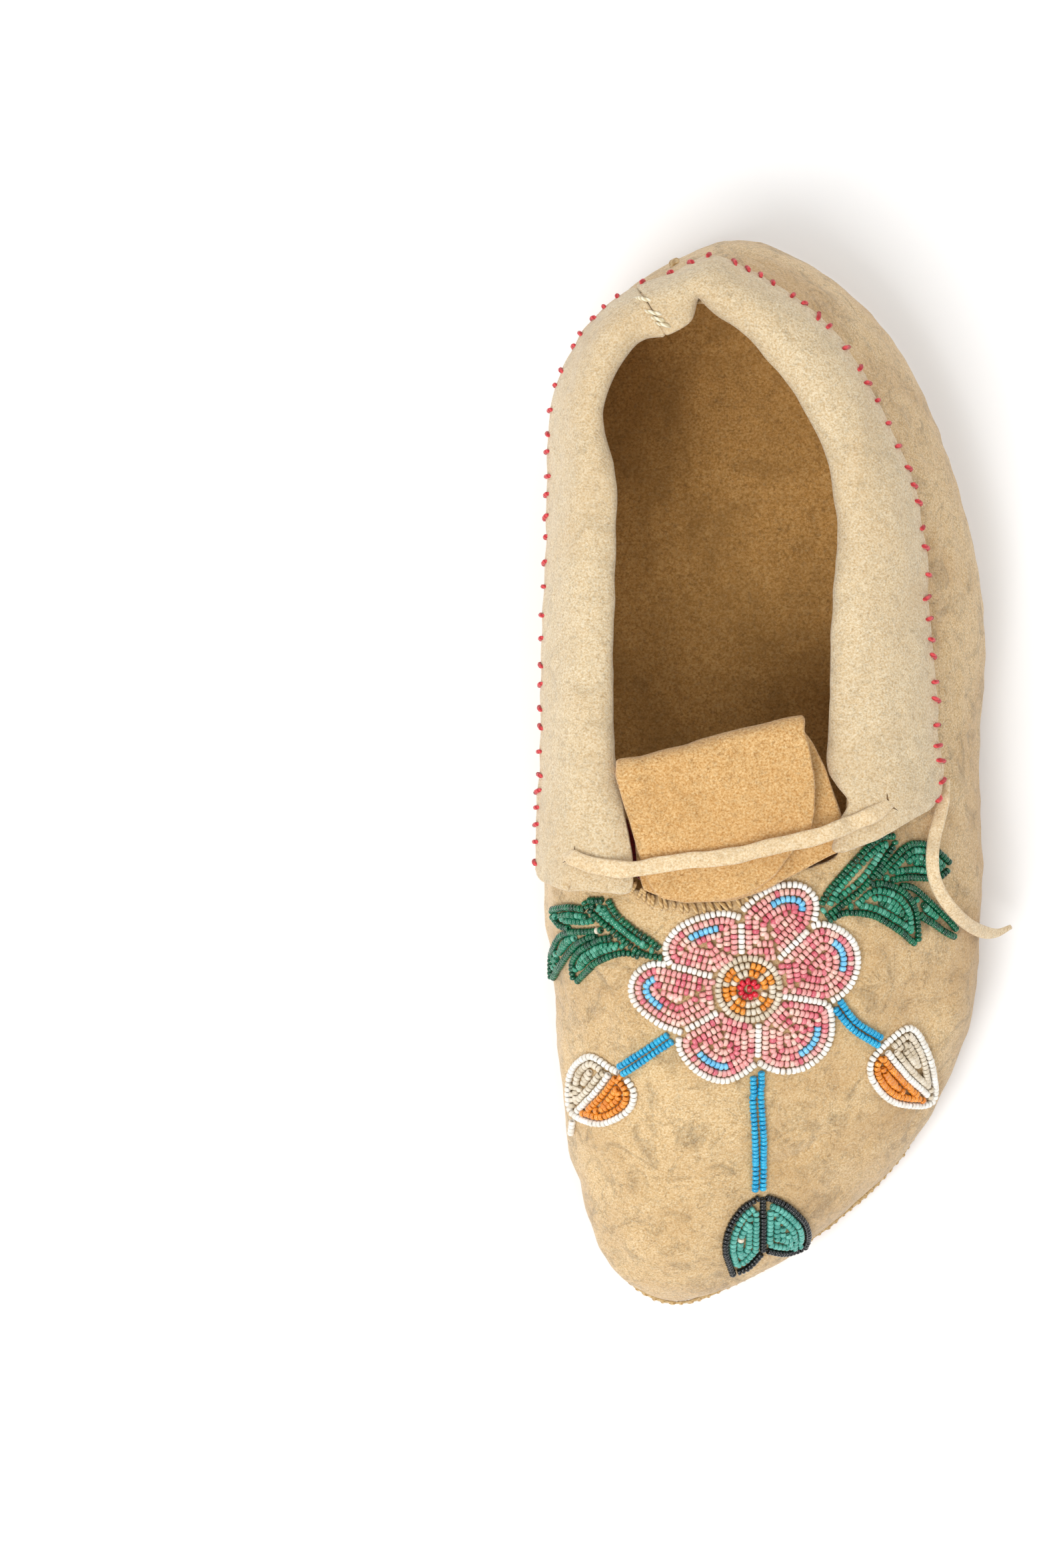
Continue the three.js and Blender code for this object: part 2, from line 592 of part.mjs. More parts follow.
// The origin is the middle of the bottom, measured without the free tail
const bounds = new THREE.Box3();
shoe.children.filter((mesh) => mesh.name !== 'thong_tail').forEach((mesh) => bounds.expandByObject(mesh));
const centre = bounds.getCenter(new THREE.Vector3());
shoe.position.set(-centre.x, -centre.y, -bounds.min.z);

export default shoe;
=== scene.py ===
# Beaded buckskin moccasin, left foot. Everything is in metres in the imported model's own frame:
# toe towards -Y, outer side +X, +Z up.
import json
import math
import random
import bmesh
import bpy
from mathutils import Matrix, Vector, noise
from mathutils.bvhtree import BVHTree


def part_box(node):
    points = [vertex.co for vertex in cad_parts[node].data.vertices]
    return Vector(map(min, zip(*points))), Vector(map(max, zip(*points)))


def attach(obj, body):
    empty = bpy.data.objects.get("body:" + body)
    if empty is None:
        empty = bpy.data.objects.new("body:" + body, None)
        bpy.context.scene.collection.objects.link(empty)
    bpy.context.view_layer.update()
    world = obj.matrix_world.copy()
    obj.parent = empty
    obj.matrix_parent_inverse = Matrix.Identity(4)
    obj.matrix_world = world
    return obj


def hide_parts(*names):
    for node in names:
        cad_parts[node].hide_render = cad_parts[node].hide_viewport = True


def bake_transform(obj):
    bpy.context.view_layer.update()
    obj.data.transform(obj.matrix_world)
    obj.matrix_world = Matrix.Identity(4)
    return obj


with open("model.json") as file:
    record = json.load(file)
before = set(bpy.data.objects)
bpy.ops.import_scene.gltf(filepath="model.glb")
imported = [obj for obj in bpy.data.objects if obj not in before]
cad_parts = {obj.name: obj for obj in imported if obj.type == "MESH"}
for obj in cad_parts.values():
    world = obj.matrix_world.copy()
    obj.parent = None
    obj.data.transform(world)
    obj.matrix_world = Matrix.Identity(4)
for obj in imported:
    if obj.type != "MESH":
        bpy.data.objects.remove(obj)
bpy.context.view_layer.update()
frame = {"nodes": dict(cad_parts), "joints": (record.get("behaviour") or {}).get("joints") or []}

mm = 0.001
up = Vector((0, 0, 1))

# The route and section points below are in the part's own millimetres; the hinge says where that frame lies
hinge = next(j for j in frame["joints"] if j["name"] == "cuff_medial_lift")
partOrigin = Vector(hinge["pos_m"]) - Vector((-42, 28, 62)) * mm


def place(x, y, z=0.0):
    return Vector((x, y, z)) * mm + partOrigin


# The camera looks straight down, from beside the shoe
view = {"height": 1.617, "framed": 0.388, "beside": (-58.2, -1.65)}

studio = {
    "keyLamp": ((-0.55, -0.6, 1.4), 0.8, 16),
    "fillLamp": ((0.5, 0.8, 1.3), 1.2, 4),
    "aimedAt": (0, 0, 0.03),
    "skyStrength": 0.7,
    "floorReach": 4,
}


def addCamera():
    camera = bpy.data.cameras.new("camera")
    camera.sensor_width = 36
    camera.lens = camera.sensor_width * view["height"] / view["framed"]
    camera.clip_end = 10
    holder = bpy.data.objects.new("camera", camera)
    holder.location = place(*view["beside"], view["height"] / mm)
    bpy.context.scene.collection.objects.link(holder)
    bpy.context.scene.camera = holder


def addLight(name, location, size, watts):
    lamp = bpy.data.lights.new(name, "AREA")
    lamp.size = size
    lamp.energy = watts
    holder = bpy.data.objects.new(name, lamp)
    holder.location = location
    aim = Vector(studio["aimedAt"]) - Vector(location)
    holder.rotation_euler = aim.to_track_quat("-Z", "Y").to_euler()
    bpy.context.scene.collection.objects.link(holder)


def addStudio():
    addLight("keyLamp", *studio["keyLamp"])
    addLight("fillLamp", *studio["fillLamp"])
    world = bpy.data.worlds.new("studio")
    world.use_nodes = True
    background = world.node_tree.nodes["Background"]
    background.inputs["Color"].default_value = (1, 1, 1, 1)
    background.inputs["Strength"].default_value = studio["skyStrength"]
    bpy.context.scene.world = world
    bpy.context.scene.view_settings.view_transform = "Standard"
    mesh = bpy.data.meshes.new("floor")
    side = studio["floorReach"]
    corners = [(-side, -side, 0), (side, -side, 0), (side, side, 0), (-side, side, 0)]
    mesh.from_pydata(corners, [], [(0, 1, 2, 3)])
    floor = bpy.data.objects.new("floor", mesh)
    floor.location.z = -0.3 * mm  # a little clear of the sole, so that the two faces don't fight
    bpy.context.scene.collection.objects.link(floor)
    mesh.materials.append(plainMaterial("paleFloor", "#ffffff", 0.9))


def linear(hexColour):
    channels = [int(hexColour[i:i + 2], 16) / 255 for i in (1, 3, 5)]
    return [c / 12.92 if c <= 0.04045 else ((c + 0.055) / 1.055) ** 2.4 for c in channels] + [1.0]


# One node, with its settings, the sockets that feed it and, for a colour ramp, its stops
def addNode(tree, kind, settings=None, links=None, stops=()):
    node = tree.nodes.new(kind)
    for key, value in (settings or {}).items():
        if isinstance(key, int) or key in node.inputs:
            node.inputs[key].default_value = value
        else:
            setattr(node, key, value)
    for socket, source in (links or {}).items():
        tree.links.new(source, node.inputs[socket])
    if stops:
        elements = node.color_ramp.elements
        while len(elements) < len(stops):
            elements.new(0.5)
        for element, (position, colour) in zip(elements, stops):
            element.position = position
            element.color = linear(colour)
    return node


def newMaterial(name):
    material = bpy.data.materials.new(name)
    material.use_nodes = True
    tree = material.node_tree
    shader = tree.nodes["Principled BSDF"]
    shader.inputs["IOR"].default_value = 1.5
    return material, tree, shader


def plainMaterial(name, colour, roughness):
    material, tree, shader = newMaterial(name)
    shader.inputs["Base Color"].default_value = linear(colour)
    shader.inputs["Roughness"].default_value = roughness
    return material


def grey(level):
    value = format(round(255 * level), "02x")
    return "#" + 3 * value


multiply = {"data_type": "RGBA", "blend_type": "MULTIPLY"}

# Size, detail, roughness and distortion of the patterns that are the same on every hide: handling marks, the
# thin dark lines of painted shade in small creases, and the low swells under the nap
hideMarks = (7.692 * mm, 6.0, 0.68, 1.2)
hideCreaseShade = (18.182 * mm, 5.0, 0.6, 2.5)
hideSwells = (3.846 * mm, 3.0, 0.55, 0.0)


# Brushed hide: the nap scatters light, so the eye sees fine grain, flecks, cloudy stains, handling marks,
# small creases as lines of painted shade, a soft sheen at the edges, and no gloss
def suede(name, dark, base, pale, stain, nap=0.55 * mm, stainSize=30 * mm, stainAmount=0.5, grain=0.5,
          deep=0.5, wearAndCreaseShade=0.25):
    material, tree, shader = newMaterial(name)
    inPlace = addNode(tree, "ShaderNodeTexCoord").outputs["Object"]
    scales = ((nap, 3.0, 0.7, 0.0), (nap / 0.45, 4.0, 0.75, 0.0), (stainSize, 5.0, 0.62, 0.6),
              hideMarks, hideCreaseShade, hideSwells)
    patterns = []
    for size, detail, roughness, distortion in scales:
        settings = {"Scale": 1 / size, "Detail": detail, "Roughness": roughness, "Distortion": distortion}
        patterns.append(addNode(tree, "ShaderNodeTexNoise", settings, {"Vector": inPlace}).outputs["Fac"])
    fibre, fleck, cloud, mark, creaseShade, swell = patterns
    tones = [(0.32, dark), (0.5, base), (0.68, pale)]
    colour = addNode(tree, "ShaderNodeValToRGB", links={"Fac": fibre}, stops=tones).outputs["Color"]
    # Flecks, then stains, then marks and the painted shade of creases, each laid over what is there
    flecks = [(0.36, grey(0.72)), (0.47, grey(1)), (1.0, grey(1))]
    veil = addNode(tree, "ShaderNodeValToRGB", links={"Fac": fleck}, stops=flecks).outputs["Color"]
    colour = addNode(tree, "ShaderNodeMix", {**multiply, 0: grain}, {6: colour, 7: veil}).outputs[2]
    patches = [(0.42, grey(0)), (0.72, grey(1))]
    veil = addNode(tree, "ShaderNodeValToRGB", links={"Fac": cloud}, stops=patches).outputs["Color"]
    strength = addNode(tree, "ShaderNodeMath", {"operation": "MULTIPLY", 1: stainAmount}, {0: veil})
    colour = addNode(tree, "ShaderNodeMix", {"data_type": "RGBA", "blend_type": "MIX", 7: linear(stain)},
                     {0: strength.outputs[0], 6: colour}).outputs[2]
    # Painted shade: thin dark lines where small creases would lie in shadow, on a surface without crease
    # relief
    lines = [(0.488, grey(1)), (0.5, grey(0.72)), (0.512, grey(1))]
    for pattern, stops in ((mark, [(0.34, grey(0.74)), (0.5, grey(1))]), (creaseShade, lines)):
        veil = addNode(tree, "ShaderNodeValToRGB", links={"Fac": pattern}, stops=stops).outputs["Color"]
        colour = addNode(tree, "ShaderNodeMix", {**multiply, 0: wearAndCreaseShade}, {6: colour, 7: veil}).outputs[2]
    tree.links.new(colour, shader.inputs["Base Color"])
    dull = [(0.3, grey(0.86)), (0.7, grey(0.98))]
    rough = addNode(tree, "ShaderNodeValToRGB", links={"Fac": fleck}, stops=dull).outputs["Color"]
    tree.links.new(rough, shader.inputs["Roughness"])
    low = addNode(tree, "ShaderNodeBump", {"Strength": 0.45, "Distance": 1.2 * mm}, {"Height": swell})
    height = addNode(tree, "ShaderNodeMix", {"data_type": "RGBA", "blend_type": "ADD", 0: 0.6},
                     {6: fibre, 7: fleck}).outputs[2]
    bump = addNode(tree, "ShaderNodeBump", {"Strength": deep, "Distance": 0.4 * mm},
                   {"Height": height, "Normal": low.outputs["Normal"]})
    tree.links.new(bump.outputs["Normal"], shader.inputs["Normal"])
    shader.inputs["Sheen Weight"].default_value = 0.25
    shader.inputs["Sheen Roughness"].default_value = 0.6
    shader.inputs["Specular IOR Level"].default_value = 0.2
    return material


# Plied thread: the eye sees two close shades in a slanting twist, matt like cotton or dried sinew. A real
# ply is finer than 0.9 mm, and is drawn this coarse to show
def plied(name, colour, shade, twist=0.9 * mm):
    material, tree, shader = newMaterial(name)
    inPlace = addNode(tree, "ShaderNodeTexCoord").outputs["Object"]
    settings = {"Scale": 0.35 / twist, "Distortion": 2.0, "bands_direction": "DIAGONAL"}
    wave = addNode(tree, "ShaderNodeTexWave", settings, {"Vector": inPlace}).outputs["Fac"]
    tone = addNode(tree, "ShaderNodeValToRGB", links={"Fac": wave}, stops=[(0.2, shade), (0.8, colour)])
    tree.links.new(tone.outputs["Color"], shader.inputs["Base Color"])
    bump = addNode(tree, "ShaderNodeBump", {"Strength": 0.5, "Distance": 0.2 * mm}, {"Height": wave})
    tree.links.new(bump.outputs["Normal"], shader.inputs["Normal"])
    shader.inputs["Roughness"].default_value = 0.75
    shader.inputs["Sheen Weight"].default_value = 0.2
    return material


# Drawn and tumbled seed-bead glass: the eye sees small bright highlights, and one colour that shifts a
# little from bead to bead
def glassBead(name, colour, inner, roughness=0.12):
    material, tree, shader = newMaterial(name)
    inPlace = addNode(tree, "ShaderNodeTexCoord").outputs["Object"]
    settings = {"Scale": 1 / (2.381 * mm), "Detail": 1.0}
    drift = addNode(tree, "ShaderNodeTexNoise", settings, {"Vector": inPlace}).outputs["Fac"]
    tone = addNode(tree, "ShaderNodeValToRGB", links={"Fac": drift}, stops=[(0.35, inner), (0.62, colour)])
    tree.links.new(tone.outputs["Color"], shader.inputs["Base Color"])
    polish = [(0.3, grey(roughness)), (0.8, grey(min(roughness * 2.2, 1)))]
    rough = addNode(tree, "ShaderNodeValToRGB", links={"Fac": drift}, stops=polish).outputs["Color"]
    tree.links.new(rough, shader.inputs["Roughness"])
    shader.inputs["Coat Weight"].default_value = 0.3
    shader.inputs["Coat Roughness"].default_value = 0.05
    return material


# Smoked deer hide, brushed on the flesh side: warm tan, the most handled and stained
vampBuckskin = suede("smokedBuckskinSuede", "#bb955f", "#d7b786", "#ead4ac", "#a87d45", nap=0.45 * mm,
                     stainSize=40 * mm, stainAmount=0.6, grain=0.4, wearAndCreaseShade=0.62)
# The same hide, less smoked: pale cream with few marks
cuffBuckskin = suede("paleBuckskinSuede", "#c0a174", "#d8c29c", "#e9dabd", "#c2a071", nap=0.48 * mm,
                     stainAmount=0.35, grain=0.4)
# Thick golden hide for the tongue
tongueBuckskin = suede("goldenBuckskinSuede", "#b07c3c", "#d3a76b", "#e9c893", "#bd8846", nap=0.52 * mm,
                       stainAmount=0.35, grain=0.4)
# Heavy brown sole hide, darkened by the foot, and its paler cut edge
soleBuckskin = suede("brownSoleSuede", "#9e712f", "#c4924f", "#d8ae70", "#7f5b27", stainAmount=0.6, deep=0.4)
soleEdge = suede("soleEdgeSuede", "#b39159", "#cfb07c", "#e2caa0", "#a5824c", stainAmount=0.4)
# Thin soft strip, almost smooth
thongBuckskin = suede("thongBuckskin", "#c9a97c", "#e2c9a0", "#f0dfc0", "#c39c68", nap=0.5 * mm,
                      stainAmount=0.25, grain=0.25, deep=0.3)
# Painted shade: the shadow inside a cut in the hide, drawn as a thin dark line
slitShade = suede("paintedSlitShadow", "#5c4120", "#7a5a30", "#8f6c3e", "#4a3316")
# Felted wool cloth, dark red and matt
redWool = suede("darkRedWoolCloth", "#4a030b", "#7a0a16", "#961624", "#3a0208", nap=0.5 * mm)
# Dried sinew and cotton sewing threads
throatThread = plied("paleSinewThread", "#dcbb86", "#b8925a")
redCotton = plied("redCottonThread", "#e0474c", "#b3262d")
creamCotton = plied("creamCottonThread", "#f0e6cc", "#cdbd97")
sinew = plied("tanSinewThread", "#d4b684", "#b08d58")


def newMesh(name, points, faces):
    mesh = bpy.data.meshes.new(name)
    mesh.from_pydata(points, [], faces)
    mesh.update()
    return mesh


def addObject(name, mesh, materials):
    piece = bpy.data.objects.new(name, mesh)
    bpy.context.scene.collection.objects.link(piece)
    for material in materials:
        mesh.materials.append(material)
    for polygon in mesh.polygons:
        polygon.use_smooth = True
    return piece


def applyModifiers(piece):
    graph = bpy.context.evaluated_depsgraph_get()
    fresh = bpy.data.meshes.new_from_object(piece.evaluated_get(graph))
    piece.modifiers.clear()
    old = piece.data
    piece.data = fresh
    bpy.data.meshes.remove(old)
    for polygon in piece.data.polygons:
        polygon.use_smooth = True


def subdivide(piece, levels):
    modifier = piece.modifiers.new("smooth", "SUBSURF")
    modifier.levels = levels
    modifier.render_levels = levels
    applyModifiers(piece)


# The CAD solid with its triangles paired into quads and its surface smoothed
def softCopy(node, name, materials, levels):
    shape = bmesh.new()
    shape.from_mesh(frame["nodes"][node].data)
    bmesh.ops.remove_doubles(shape, verts=shape.verts, dist=0.02 * mm)
    bmesh.ops.join_triangles(shape, faces=shape.faces, angle_face_threshold=math.pi,
                             angle_shape_threshold=math.pi)
    bmesh.ops.recalc_face_normals(shape, faces=shape.faces)
    mesh = bpy.data.meshes.new(name)
    shape.to_mesh(mesh)
    shape.free()
    mesh.materials.clear()
    piece = addObject(name, mesh, materials)
    subdivide(piece, levels)
    return piece


# Moves the surface in and out by smooth noise: how far, over what size, and a seed. keep(point), from 0 to 1,
# says how much of it to allow
def rumple(piece, uneven, keep=None):
    amount, size, seed = uneven
    mesh = piece.data
    moved = []
    for vertex in mesh.vertices:
        point = vertex.co
        share = keep(point) if keep else 1.0
        step = noise.noise(point / size + Vector((seed, 3 * seed, 0))) * amount * share
        moved.append(point + vertex.normal * step)
    for vertex, point in zip(mesh.vertices, moved):
        vertex.co = point
    mesh.update()


def smoothstep(low, high, value):
    # 0 at low, 1 at high, in either order
    share = min(max((value - low) / (high - low), 0.0), 1.0)
    return share * share * (3 - 2 * share)


# A point on the smooth curve through evenly timed points
def spline(points, share):
    spot = min(max(share, 0.0), 1.0) * (len(points) - 1)
    low = min(int(spot), len(points) - 2)
    t = spot - low
    before = points[max(low - 1, 0)]
    start, end = points[low], points[low + 1]
    after = points[min(low + 2, len(points) - 1)]
    slopeIn = (end - before) / 2
    slopeOut = (after - start) / 2
    return (start * (2 * t**3 - 3 * t**2 + 1) + slopeIn * (t**3 - 2 * t**2 + t)
            + end * (3 * t**2 - 2 * t**3) + slopeOut * (t**3 - t**2))


def bezier(a, b, c, d, t):
    s = 1 - t
    return a * s**3 + b * (3 * s * s * t) + c * (3 * s * t * t) + d * t**3


# A sheet of hide around a grid of points, with rounded edges
def sheetMesh(name, grid, thickness):
    rows, columns = len(grid), len(grid[0])
    half = thickness / 2
    points, faces, normals = [], [], []
    for i in range(rows):
        for j in range(columns):
            along = grid[min(i + 1, rows - 1)][j] - grid[max(i - 1, 0)][j]
            across = grid[i][min(j + 1, columns - 1)] - grid[i][max(j - 1, 0)]
            normals.append(along.cross(across).normalized())
    for sign in (1, -1):
        for i in range(rows):
            for j in range(columns):
                points.append(grid[i][j] + normals[i * columns + j] * half * sign)
    under = rows * columns
    for i in range(rows - 1):
        for j in range(columns - 1):
            a, b = i * columns + j, (i + 1) * columns + j
            faces.append((a, b, b + 1, a + 1))
            faces.append((under + a, under + a + 1, under + b + 1, under + b))
    rim = list(range(columns))
    rim += [i * columns + columns - 1 for i in range(1, rows)]
    rim += [(rows - 1) * columns + j for j in range(columns - 2, -1, -1)]
    rim += [i * columns for i in range(rows - 2, 0, -1)]
    middle = len(points)
    for index in rim:
        inside = grid[min(max(index // columns, 1), rows - 2)][min(max(index % columns, 1), columns - 2)]
        edge = grid[index // columns][index % columns]
        points.append(edge + (edge - inside).normalized() * half * 0.8)
    for k, index in enumerate(rim):
        following = rim[(k + 1) % len(rim)]
        ahead = middle + (k + 1) % len(rim)
        faces.append((index, following, ahead, middle + k))
        faces.append((middle + k, ahead, under + following, under + index))
    mesh = newMesh(name, points, faces)
    shape = bmesh.new()
    shape.from_mesh(mesh)
    bmesh.ops.recalc_face_normals(shape, faces=shape.faces)
    shape.to_mesh(mesh)
    shape.free()
    return mesh


# Splits a piece in two at one value of x (axis 0) or y (axis 1): the piece keeps the lower side
def splitAt(piece, axis, value, name):
    other = piece.copy()
    other.data = piece.data.copy()
    other.name = name
    bpy.context.scene.collection.objects.link(other)
    for half, isLower in ((piece, True), (other, False)):
        shape = bmesh.new()
        shape.from_mesh(half.data)
        gone = [f for f in shape.faces if (f.calc_center_median()[axis] > value) == isLower]
        bmesh.ops.delete(shape, geom=gone, context="FACES")
        shape.to_mesh(half.data)
        shape.free()
    return other


# The faces of a closed tube whose rings of points follow one another, the first point having this number
def tubeFaces(first, rings, sides):
    faces = []
    for i in range(rings - 1):
        for k in range(sides):
            a, b = first + i * sides + k, first + i * sides + (k + 1) % sides
            faces.append((a, b, b + sides, a + sides))
    faces.append(tuple(first + k for k in reversed(range(sides))))
    faces.append(tuple(first + (rings - 1) * sides + k for k in range(sides)))
    return faces


# Short lengths of thread, each a round tube with tapered ends, in one piece
def stitchMesh(name, paths, radius, material, sides=7):
    points, faces = [], []
    for path in paths:
        base = len(points)
        steps = len(path)
        for i, centre in enumerate(path):
            along = (path[min(i + 1, steps - 1)] - path[max(i - 1, 0)]).normalized()
            side = along.cross(up)
            side = side.normalized() if side.length > 1e-6 else Vector((1, 0, 0))
            other = along.cross(side).normalized()
            taper = radius * (0.45 if i in (0, steps - 1) else 1.0)
            for k in range(sides):
                angle = 2 * math.pi * k / sides
                points.append(centre + (side * math.cos(angle) + other * math.sin(angle)) * taper)
        faces += tubeFaces(base, steps, sides)
    return addObject(name, newMesh(name, points, faces), [material])


print("sole and upper")
soleHide = {"flatBelow": (1 * mm, 2 * mm), "uneven": (0.4 * mm, 20 * mm, 0.0)}
upperHide = {
    "stillBelow": (6 * mm, 16 * mm),
    "underCuffs": (-30 * mm, -12 * mm),
    "folds": ((2.2 * mm, 32 * mm, 1.7), (1.0 * mm, 11 * mm, 4.1)),
    "pebble": (0.4 * mm, 4.5 * mm, 9.3),
}

sole = softCopy("sole", "soleVisual", [soleBuckskin], 2)
rumple(sole, soleHide["uneven"], lambda p: smoothstep(*soleHide["flatBelow"], p.z))
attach(sole, "shoe")
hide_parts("sole")

upper = softCopy("upper", "upperVisual", [vampBuckskin], 2)


def aboveSeam(p):
    return smoothstep(*upperHide["stillBelow"], p.z)


def vampShare(p):
    # Full unevenness over the toe, little under the cuffs and none at the sole seam
    return aboveSeam(p) * (1 - 0.8 * smoothstep(*upperHide["underCuffs"], p.y))


for fold in upperHide["folds"]:
    rumple(upper, fold, vampShare)
rumple(upper, upperHide["pebble"], aboveSeam)
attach(upper, "shoe")
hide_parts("upper")


def treeOf(*pieces):
    points, faces = [], []
    for piece in pieces:
        base = len(points)
        points += [vertex.co.copy() for vertex in piece.data.vertices]
        faces += [[base + index for index in polygon.vertices] for polygon in piece.data.polygons]
    return BVHTree.FromPolygons(points, faces)


upperTree = treeOf(upper)


# Where the upper's outside lies at (x, y), and its outward direction
def onUpper(x, y):
    point, normal, _, _ = upperTree.ray_cast(Vector((x, y, 0.2)), -up)
    if point is None:
        point, normal, _, _ = upperTree.find_nearest(Vector((x, y, 0.03)))
    return point, normal if normal.z > 0 else -normal


# Each section: fold centre x, y, z, free edge x, y, z, and how far the inner side reaches. The table "front"
# says how far the front edge is cut back, from the inner end (0) to the free edge (1)
cuffs = {
    "medial": {
        "sections": [
            (-42, -26.4, 62, -55, -24.6, 47, 10), (-42, -16, 62, -54.6, -15, 47, 9.4),
            (-42, -4, 62, -54.2, -4, 46.5, 6.4), (-42, 8, 62, -53.8, 8, 46.2, 4.8),
            (-42, 20, 62, -53.2, 20, 46, 4.8), (-42, 42, 62, -52.4, 42, 46, 5),
            (-42, 62, 62, -51.9, 62, 46, 5.4), (-42, 74, 62.2, -51.4, 75, 46.5, 5),
            (-42.2, 83, 62.3, -50.9, 85.4, 47, 2.6), (-41.8, 91, 62.5, -49.4, 94, 47.5, 2.6),
            (-38.2, 102, 63, -44.9, 104.5, 49, 4), (-33, 108.3, 63.5, -37.5, 112.5, 51, 5),
            (-28, 111, 63.8, -31.3, 116.8, 53, 6.6),
        ],
        "front": [(0, 3.2), (0.05, 1.3), (0.14, 0.2), (0.5, -0.9), (0.85, 0.2), (0.95, 1.2), (1, 2.6)],
        "body": "cuff_medial",
        "foldLine": -42,
    },
    "lateral": {
        "sections": [
            (18.6, -16.6, 62, 38.6, -7.4, 51.5, 3), (18.8, -11, 62, 41, -4.8, 50.2, 1.3),
            (20.2, -6, 62, 41.8, -3, 50.1, 0.4), (19.4, -1.6, 62, 42, -0.6, 50, 2.4),
            (19.3, 2.6, 62, 41.8, 3, 50, 4.4),
            (19.7, 12, 62, 41.1, 11.2, 50, 4.6), (20.3, 28, 62, 39.7, 27.3, 50, 4.6),
            (20.9, 43, 62, 38.6, 42.3, 50, 4.4), (21.5, 57.2, 62, 37.8, 56.5, 50.5, 4.2),
            (20.5, 71, 62, 34.3, 71.4, 52.6, 4.6), (16.5, 84, 62.5, 27.2, 86.5, 54.2, 4.7),
            (10, 95.5, 63, 19.6, 101, 55.4, 4.8), (3, 104, 63.5, 9.8, 111.6, 56, 5.1),
            (-4, 110.5, 64, -1.2, 118.8, 56, 4.8), (-12, 114.2, 64.2, -12.4, 123.4, 55.4, 4),
            (-16.8, 116.6, 64, -17.4, 122.2, 54.8, 2.2), (-20.6, 114.6, 64.4, -22.2, 120, 54.6, 6.4),
            (-27.4, 111.5, 64.2, -30.7, 117.2, 54.2, 7),
        ],
        "front": [(0, 1.8), (0.06, 0.5), (0.2, -0.2), (0.5, -1.5), (0.85, -0.4), (0.95, 0.4), (1, 1.6)],
        "body": "cuff_lateral",
        "foldLine": 20,
    },
}
foldRadius = 3.7 * mm
cuffThickness = 1.7 * mm
cuffUneven = ((0.7 * mm, 20 * mm, 7.0), (0.3 * mm, 5 * mm, 2.0))
# Steps over the fold's inner side and down the turned-down leg
innerSteps, legSteps = 9, 20
# Along y, a cuff's swing grows to full and then falls back to none; between the two, the strip is cut in two
cuffCutAt = 28


def cuffSection(centre, free, inner):
    outward = (free - centre)
    outward.z = 0
    reach = outward.length
    outward.normalize()
    top = centre + up * foldRadius
    flat = smoothstep(foldRadius, foldRadius + 4 * mm, inner)
    tip = centre - outward * inner + up * flat * foldRadius * 0.75
    low = max(1 - inner / foldRadius, 0.0)
    tip += up * low * foldRadius * 0.97
    rise = up * 0.55 * foldRadius * (1 - flat) * (1 - low)
    inside = [bezier(tip, tip + rise, top - outward * 0.55 * inner, top, t / innerSteps)
              for t in range(innerSteps)]
    drop = up * 0.45 * (top.z - free.z)
    bow = free - outward * 0.16 * reach + drop
    return inside + [bezier(top, top + outward * 0.5 * reach, bow, free, t / legSteps)
                     for t in range(legSteps + 1)]


def readTable(table, share):
    # Straight-line reading of a table of (share, value)
    for (low, first), (high, second) in zip(table, table[1:]):
        if share <= high:
            return first + (second - first) * (share - low) / (high - low)
    return table[-1][1]


def cuffGrid(settings, steps):
    sections = settings["sections"]
    folds = [place(*s[:3]) for s in sections]
    edges = [place(*s[3:6]) for s in sections]
    reaches = [Vector((s[6] * mm, 0, 0)) for s in sections]
    grid = []
    for i in range(steps + 1):
        share = i / steps
        free = spline(edges, share)
        ripple = noise.noise(free / 0.009) * 0.7 + noise.noise(free / 0.0035) * 0.25
        free = free + (free - spline(folds, share)).normalized() * ripple * mm
        grid.append(cuffSection(spline(folds, share), free, spline(reaches, share).x))
    # The front corners are cut round and the front edge is bowed; the rows behind them follow, less and less
    columns, following = len(grid[0]), 12
    for j in range(columns):
        forward = (grid[0][j] - grid[4][j]).normalized()
        cut = readTable(settings["front"], j / (columns - 1)) * mm
        for i in range(following):
            grid[i][j] = grid[i][j] - forward * cut * (1 - i / following)**2
    # The turned-down leg rests on the shoe's wall instead of passing into it
    for row in grid:
        for j in range(innerSteps + 4, columns):
            point, normal, _, _ = upperTree.find_nearest(row[j])
            clear = (row[j] - point).dot(normal)
            least = cuffThickness / 2 + 0.35 * mm
            if clear < least and normal.dot(row[-1] - row[innerSteps - 1]) > 0:
                row[j] = row[j] + normal * (least - clear)
    return grid


def edgeStitches(name, surface, grid, settings):
    # Whip stitches over the free edge: up from below, round the edge and back in on top
    chance = random.Random(name)
    radius = settings["radius"]
    paths = []
    walked, nextStitch = 0.0, 2 * mm

    def onSurface(point, facing):
        spot, normal, _, _ = surface.find_nearest(point)
        return spot + (normal if normal.dot(facing) > 0 else -normal) * radius * 0.7

    for i in range(1, len(grid) - 1):
        walked += (grid[i][-1] - grid[i - 1][-1]).length
        if walked < nextStitch:
            continue
        nextStitch = walked + settings["spacing"] * chance.uniform(0.7, 1.35)
        edge, inside = grid[i][-1], grid[i][-4]
        across = (edge - inside).normalized()
        ahead = (grid[i + 1][-1] - grid[i - 1][-1]).normalized()
        normal = across.cross(ahead).normalized()
        normal = normal if normal.z > 0 else -normal
        length = settings["length"] * chance.uniform(0.7, 1.25)
        lean = ahead * length * chance.uniform(-0.35, 0.35)
        half = cuffThickness / 2
        route = [onSurface(edge - across * length * t + normal * half + lean * t, normal)
                 for t in (1, 0.75, 0.5, 0.25, 0)]
        route[0] -= normal * radius * 1.2
        route.append(onSurface(edge + across * 2 * half, across))
        route += [onSurface(edge - across * length * t - normal * half, -normal) for t in (0, 0.3)]
        paths.append(route)
    return stitchMesh(name, paths, radius, redCotton)


